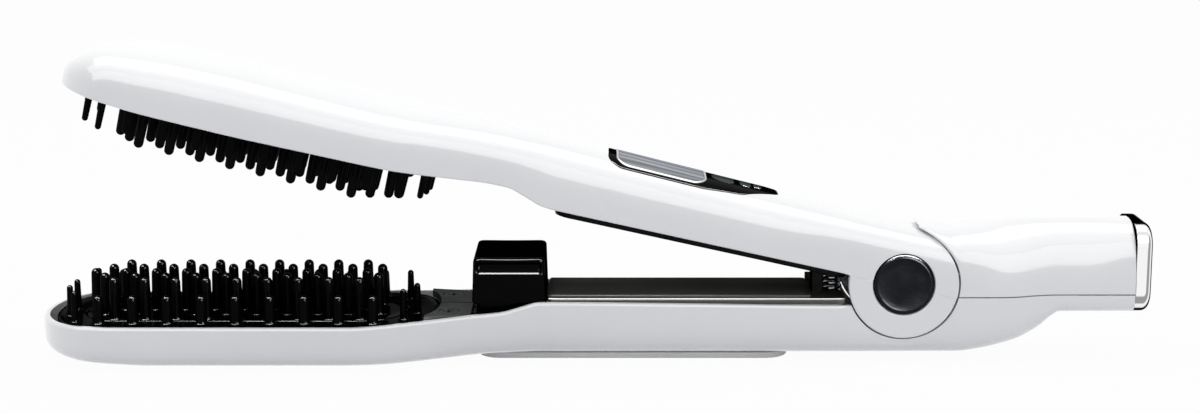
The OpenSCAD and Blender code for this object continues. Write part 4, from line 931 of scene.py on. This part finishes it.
raised = round_rect(COVER_FROM, SLAB_TO, COVER_HALF, 0.4)
low_part = round_rect(COVER_FROM, LEDGE_TO, LEDGE_HALF, 1.5)
cover = piece("handle_plate", [slab(raised, mid_line(raised, COVER_FROM, SLAB_TO, COVER_HALF),
                                    flat(COVER_Z), flat(-6.5), edge=0.35, rings=8)],
              lower, "lower_arm", SATIN)
cut(cover, [
    prism("screw_well", hull_plan([(-36.5, 0, 3.4)], 64), COVER_Z - 1.4, 0, lower),
    prism("dot", hull_plan([(COVER_FROM + 14, 0, 0.8)], 32), COVER_Z - 0.8, 0, lower)])
lip = round_rect(COVER_FROM, LEDGE_TO, LIP_HALF, 1.0)
back = hull_plan([(x, GUARD_Y, 0.3) for x in (-26, -15.7)], 60)
ledge = piece("handle_ledge", [
    slab(low_part, mid_line(low_part, COVER_FROM, LEDGE_TO, LEDGE_HALF), flat(-6.2), flat(-7.6),
         edge=0.2),
    slab(lip, mid_line(lip, COVER_FROM, LEDGE_TO, LIP_HALF), flat(-5.15), flat(-6.6), edge=0.15),
    slab(back, along(back, -26, -15.7, GUARD_Y), flat(-2.6), flat(-6.4), edge=0.1, rings=3)],
    lower, "lower_arm", SATIN, ["lower_handle_cover"])
cut(ledge, [prism("cup_well", hull_plan([(-19.15, 0, 3.5)], 64), -12, 0, lower),
            prism("post_well", round_rect(-25.7, -22.6, 4.1, 0.1, 40), -12, 0, lower)])
TRIM_FROM, TRIM_TO, TRIM_Y = COVER_FROM + 0.5, -17.2, 13.3
trims = []
for s in (-1, 1):
    line = hull_plan([(x, s * TRIM_Y, 0.32) for x in (TRIM_FROM, TRIM_TO)], 120)
    trims.append(slab(line, along(line, TRIM_FROM, TRIM_TO, s * TRIM_Y), flat(-4.8), flat(-6.2),
                      edge=0.2, rings=3))
piece("handle_trim", trims, lower, "lower_arm", TRIM, ["lower_trim"])

strip_plan = hull_plan([(x, s * 11.4, 4.0) for x in (-99.8, -20.7) for s in (-1, 1)], 200)
guard = hull_plan([(x, 11.9, 0.3) for x in (-24.8, -17.2)], 60)
piece("upper_strip", [slab(strip_plan, mid_line(strip_plan, -103.8, -16.7, 15.4), flat(0.15),
                           flat(-2.25), edge=0.1, foot=0.35),
                      slab(guard, along(guard, -24.8, -17.2, 11.9), flat(-2), flat(-4.6),
                           edge=0.1, rings=3)],
      upper, "upper_arm", COVER, ["upper_handle_cover"])

# ---- water tank
def water_tank():
    """Lift-out tank: rounded block that leans in a little, with rolled top edges. A grip runs
    across its front and back just below the top: its depth goes with sin(pi t^0.7) from the
    top edge down, and fades out towards the corners."""
    x0, x1, half, top, low = TANK_X, TANK_X + TANK_LEN, 14.5, 7.2, -5.9
    levels = [(0, z) for z in (low, -3, 0, 1.8, 2.3)]
    levels += [(0, z) for z in np.linspace(2.5, 5.9, 30)]
    levels += [(1.25 * (1 - math.cos(g)), top - 1.25 + 1.25 * math.sin(g))
               for g in np.linspace(0, math.pi / 2, 10)[1:]]
    rows = []
    for inset, z in levels:
        lean = 0.4 * (z - low) / (top - low)
        p = hull_plan([(x, s * (half - lean - 1.4), 1.4)
                       for x in (x0 + 1.4 + lean, x1 - 1.4 - lean) for s in (-1, 1)], 360)
        t = np.clip((5.95 - z) / 3.5, 0, 1)
        scoop = 1.3 * math.sin(math.pi * t ** 0.7) ** 0.9 if 0 < t < 1 else 0.0
        ease = (np.clip((p[:, 0] - x0 - 0.9) / 1.2, 0, 1)
                * np.clip((x1 - 0.9 - p[:, 0]) / 1.2, 0, 1))
        ease = ease * ease * (3 - 2 * ease) * (np.abs(p[:, 1]) > half - 2.2)
        p[:, 1] -= np.sign(p[:, 1]) * scoop * ease
        mid = np.column_stack([np.full(len(p), (x0 + x1) / 2), np.clip(p[:, 1], -5, 5)])
        out = (p - mid) / np.linalg.norm(p - mid, axis=1, keepdims=True)
        rows.append(np.column_stack([p - out * inset, np.full(len(p), z)]))
    edge = rows[-1][:, :2]
    for f in (0.9, 0.6, 0.3, 0):
        rows.append(np.column_stack([mid + (edge - mid) * f, np.full(len(edge), top)]))
    base = rows[0][:, :2]
    rows.insert(0, np.column_stack([mid, np.full(len(base), low)]))
    return np.stack(rows), grid(len(rows), len(base), wrap=True)


piece("tank_block", [water_tank()], lower, "tank", PIANO, ["water_tank"],
      angle=40)
well = round_rect(TANK_X + 1, TANK_X + TANK_LEN - 1, 10.8, 2)
piece("tank_foot", [slab(well, mid_line(well, TANK_X + 1, TANK_X + TANK_LEN - 1, 10.8),
                         flat(-5.8), flat(-17.1), edge=0.2, foot=0.6)],
      lower, "tank", PIANO)


# ---- spring
def tube(path, r, sides=12):
    """Round wire along a path: each ring stands square to the path's direction."""
    p = np.array(path, float)
    d = np.gradient(p, axis=0)
    d /= np.linalg.norm(d, axis=1, keepdims=True)
    s = np.cross(d, [0, 0, 1.0])
    s /= np.linalg.norm(s, axis=1, keepdims=True)
    u = np.cross(s, d)
    a = np.linspace(0, 2 * math.pi, sides, endpoint=False)
    ring = p[:, None] + r * (np.cos(a)[None, :, None] * s[:, None]
                             + np.sin(a)[None, :, None] * u[:, None])
    ring = np.concatenate([np.repeat(p[:1, None], sides, 1), ring,
                           np.repeat(p[-1:, None], sides, 1)])
    return ring, grid(len(ring), sides, wrap=True)


COIL_R, COIL_LOW, COIL_TOP, SPRING_X, WIRE_R, COILS = 2.4, -8.65, 1.05, -19.15, 0.4, 6
turns = np.linspace(0, COILS * 2 * math.pi, COILS * 32 + 1)
coil = np.stack([SPRING_X + COIL_R * np.cos(turns), COIL_R * np.sin(turns),
                 COIL_LOW + (COIL_TOP - COIL_LOW) * turns / turns[-1]], -1)
coil = np.concatenate([[coil[0] - [0, 2 * WIRE_R, 0]], coil, [coil[-1] + [0, 2 * WIRE_R, 0]]])
spring = piece("opening_coil", [tube(coil, WIRE_R)], lower, "lower_arm", WIRE,
               ["opening_spring"])
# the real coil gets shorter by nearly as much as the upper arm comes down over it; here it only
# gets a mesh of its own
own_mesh(spring)

# ---- pad
PAD_FROM, PAD_TO, HALF_PAD = HANDLE - 16.3, HANDLE - 16.3 + 92.2, 9
pad = round_rect(PAD_FROM, PAD_TO, HALF_PAD, 7)
piece("rest_pad", [slab(pad, mid_line(pad, PAD_FROM, PAD_TO, HALF_PAD), flat(BELLY), flat(FLOOR),
                        edge=0.05, foot=0.5, rings=5, steps=5)],
      lower, "lower_arm", PAD, ["bottom_pad"])

# ---- camera: distance and height of its aim in millimetres, focal length in photo pixels
DIST, TILT, AIM_UP, AIM_X = 640.4, math.radians(10.651), 20.064, HX - 88.67
FOCAL, PHOTO_WIDTH, SENSOR = 2154.45, 1200, 36
cam_data = bpy.data.cameras.new("camera")
cam_data.sensor_width, cam_data.sensor_fit = SENSOR, "HORIZONTAL"
cam_data.lens = FOCAL / PHOTO_WIDTH * SENSOR
cam_data.clip_start, cam_data.clip_end = 0.01, 20
cam = bpy.data.objects.new("camera", cam_data)
cam.location = (AIM_X * MM, -DIST * math.cos(TILT) * MM,
                (HZ + AIM_UP + DIST * math.sin(TILT)) * MM)
cam.rotation_euler = (math.pi / 2 - TILT, 0, 0)
bpy.context.scene.collection.objects.link(cam)
bpy.context.scene.camera = cam


# ---- stage
SOFT_LEVEL = 0.73  # the world's light on the object
FLOOR_WHITE = 0.965  # share of the floor's white that the camera and gloss see
FLOOR_HALF = 6  # metres
SEEN = ("Is Camera Ray", "Is Glossy Ray", "Is Transmission Ray")


def either(t, sockets):
    """The largest of some sockets that are each 0 or 1."""
    best = sockets[0]
    for other in sockets[1:]:
        m = t.nodes.new("ShaderNodeMath")
        m.operation = "MAXIMUM"
        t.links.new(best, m.inputs[0])
        t.links.new(other, m.inputs[1])
        best = m.outputs[0]
    return best


def floor_finish():
    """Pale floor: white to the camera and in reflections, and still carrying a soft shadow."""
    mat = bpy.data.materials.new("pale_floor")
    mat.use_nodes = True
    t = mat.node_tree
    t.nodes.clear()
    out = t.nodes.new("ShaderNodeOutputMaterial")
    dif = t.nodes.new("ShaderNodeBsdfDiffuse")
    dif.inputs["Color"].default_value = (0.64, 0.65, 0.68, 1)
    glow = t.nodes.new("ShaderNodeEmission")
    glow.inputs["Color"].default_value = (1, 1, 1, 1)
    glow.inputs["Strength"].default_value = 1
    path = t.nodes.new("ShaderNodeLightPath")
    seen = t.nodes.new("ShaderNodeMath")
    seen.operation = "MULTIPLY"
    seen.inputs[1].default_value = FLOOR_WHITE
    t.links.new(either(t, [path.outputs[k] for k in SEEN]), seen.inputs[0])
    mix = t.nodes.new("ShaderNodeMixShader")
    t.links.new(seen.outputs[0], mix.inputs["Fac"])
    t.links.new(dif.outputs[0], mix.inputs[1])
    t.links.new(glow.outputs[0], mix.inputs[2])
    t.links.new(mix.outputs[0], out.inputs["Surface"])
    return mat


floor_mesh = bpy.data.meshes.new("floor")
floor_mesh.from_pydata([(x * FLOOR_HALF, y * FLOOR_HALF, 0)
                        for x, y in ((-1, -1), (1, -1), (1, 1), (-1, 1))], [], [(0, 1, 2, 3)])
floor = bpy.data.objects.new("floor", floor_mesh)
floor_mesh.materials.append(floor_finish())
bpy.context.scene.collection.objects.link(floor)

world = bpy.data.worlds.new("studio")
bpy.context.scene.world = world
world.use_nodes = True
wt = world.node_tree
wt.nodes.clear()
w_out = wt.nodes.new("ShaderNodeOutputWorld")
soft = wt.nodes.new("ShaderNodeBackground")
white = wt.nodes.new("ShaderNodeBackground")
soft.inputs["Color"].default_value = (0.98, 0.99, 1, 1)
soft.inputs["Strength"].default_value = SOFT_LEVEL
white.inputs["Color"].default_value = (1, 1, 1, 1)
white.inputs["Strength"].default_value = 1
w_path = wt.nodes.new("ShaderNodeLightPath")
w_mix = wt.nodes.new("ShaderNodeMixShader")
wt.links.new(either(wt, [w_path.outputs[k] for k in SEEN]), w_mix.inputs["Fac"])
wt.links.new(soft.outputs[0], w_mix.inputs[1])
wt.links.new(white.outputs[0], w_mix.inputs[2])
wt.links.new(w_mix.outputs[0], w_out.inputs["Surface"])


AIM = (0, 0, 0.03)


def lamp(name, level, size, place, card=None):
    """A soft rectangular lamp turned towards the object, that looks level times as bright as
    white: its power is level x pi x width x height. With a card, it only shows in the gloss
    of the pieces in that collection."""
    data = bpy.data.lights.new(name, "AREA")
    data.shape, data.energy = "RECTANGLE", level * math.pi * size[0] * size[1]
    data.size, data.size_y = size
    obj = bpy.data.objects.new(name, data)
    obj.location = place
    obj.rotation_euler = (Vector(AIM) - Vector(place)).to_track_quat("-Z", "Y").to_euler()
    bpy.context.scene.collection.objects.link(obj)
    if card:
        obj.visible_diffuse = False
        obj.light_linking.receiver_collection = card


# each card only shows in the pale pieces or the dark ones, as flags do in a studio
PALE = {m.name for m in (WHITE, PAD, NATURAL, SILVER, TRIM, PAINTED_REFLECTION_CHROME, CHROME, LENS, STEEL, SCREW,
                         NECK_SCREW, WIRE)}
pale, dark = bpy.data.collections.new("pale_gloss"), bpy.data.collections.new("dark_gloss")
for obj in bpy.data.objects:
    if obj.type == "MESH" and obj.data.materials:
        finish = obj.data.materials[0]
        (pale if finish and finish.name in PALE else dark).objects.link(obj)

lamp("top_light", 1.55, (1.2, 0.5), (0, 0.12, 0.8))
lamp("sky_card", 1.5, (3.0, 0.75), (0, -0.32, 1.05), pale)
lamp("front_card", 2.2, (3.6, 0.9), (0, -1.3, 1.0), pale)
lamp("tube", 340, (2.0, 0.32), (0, -0.2, 0.95), dark)
lamp("spark", 900, (0.1, 0.1), (-0.22, -0.6, 0.75), dark)
lamp("strip", 75, (0.45, 0.6), (0.42, -0.7, 0.3), dark)
bpy.context.scene.view_settings.view_transform = "Standard"
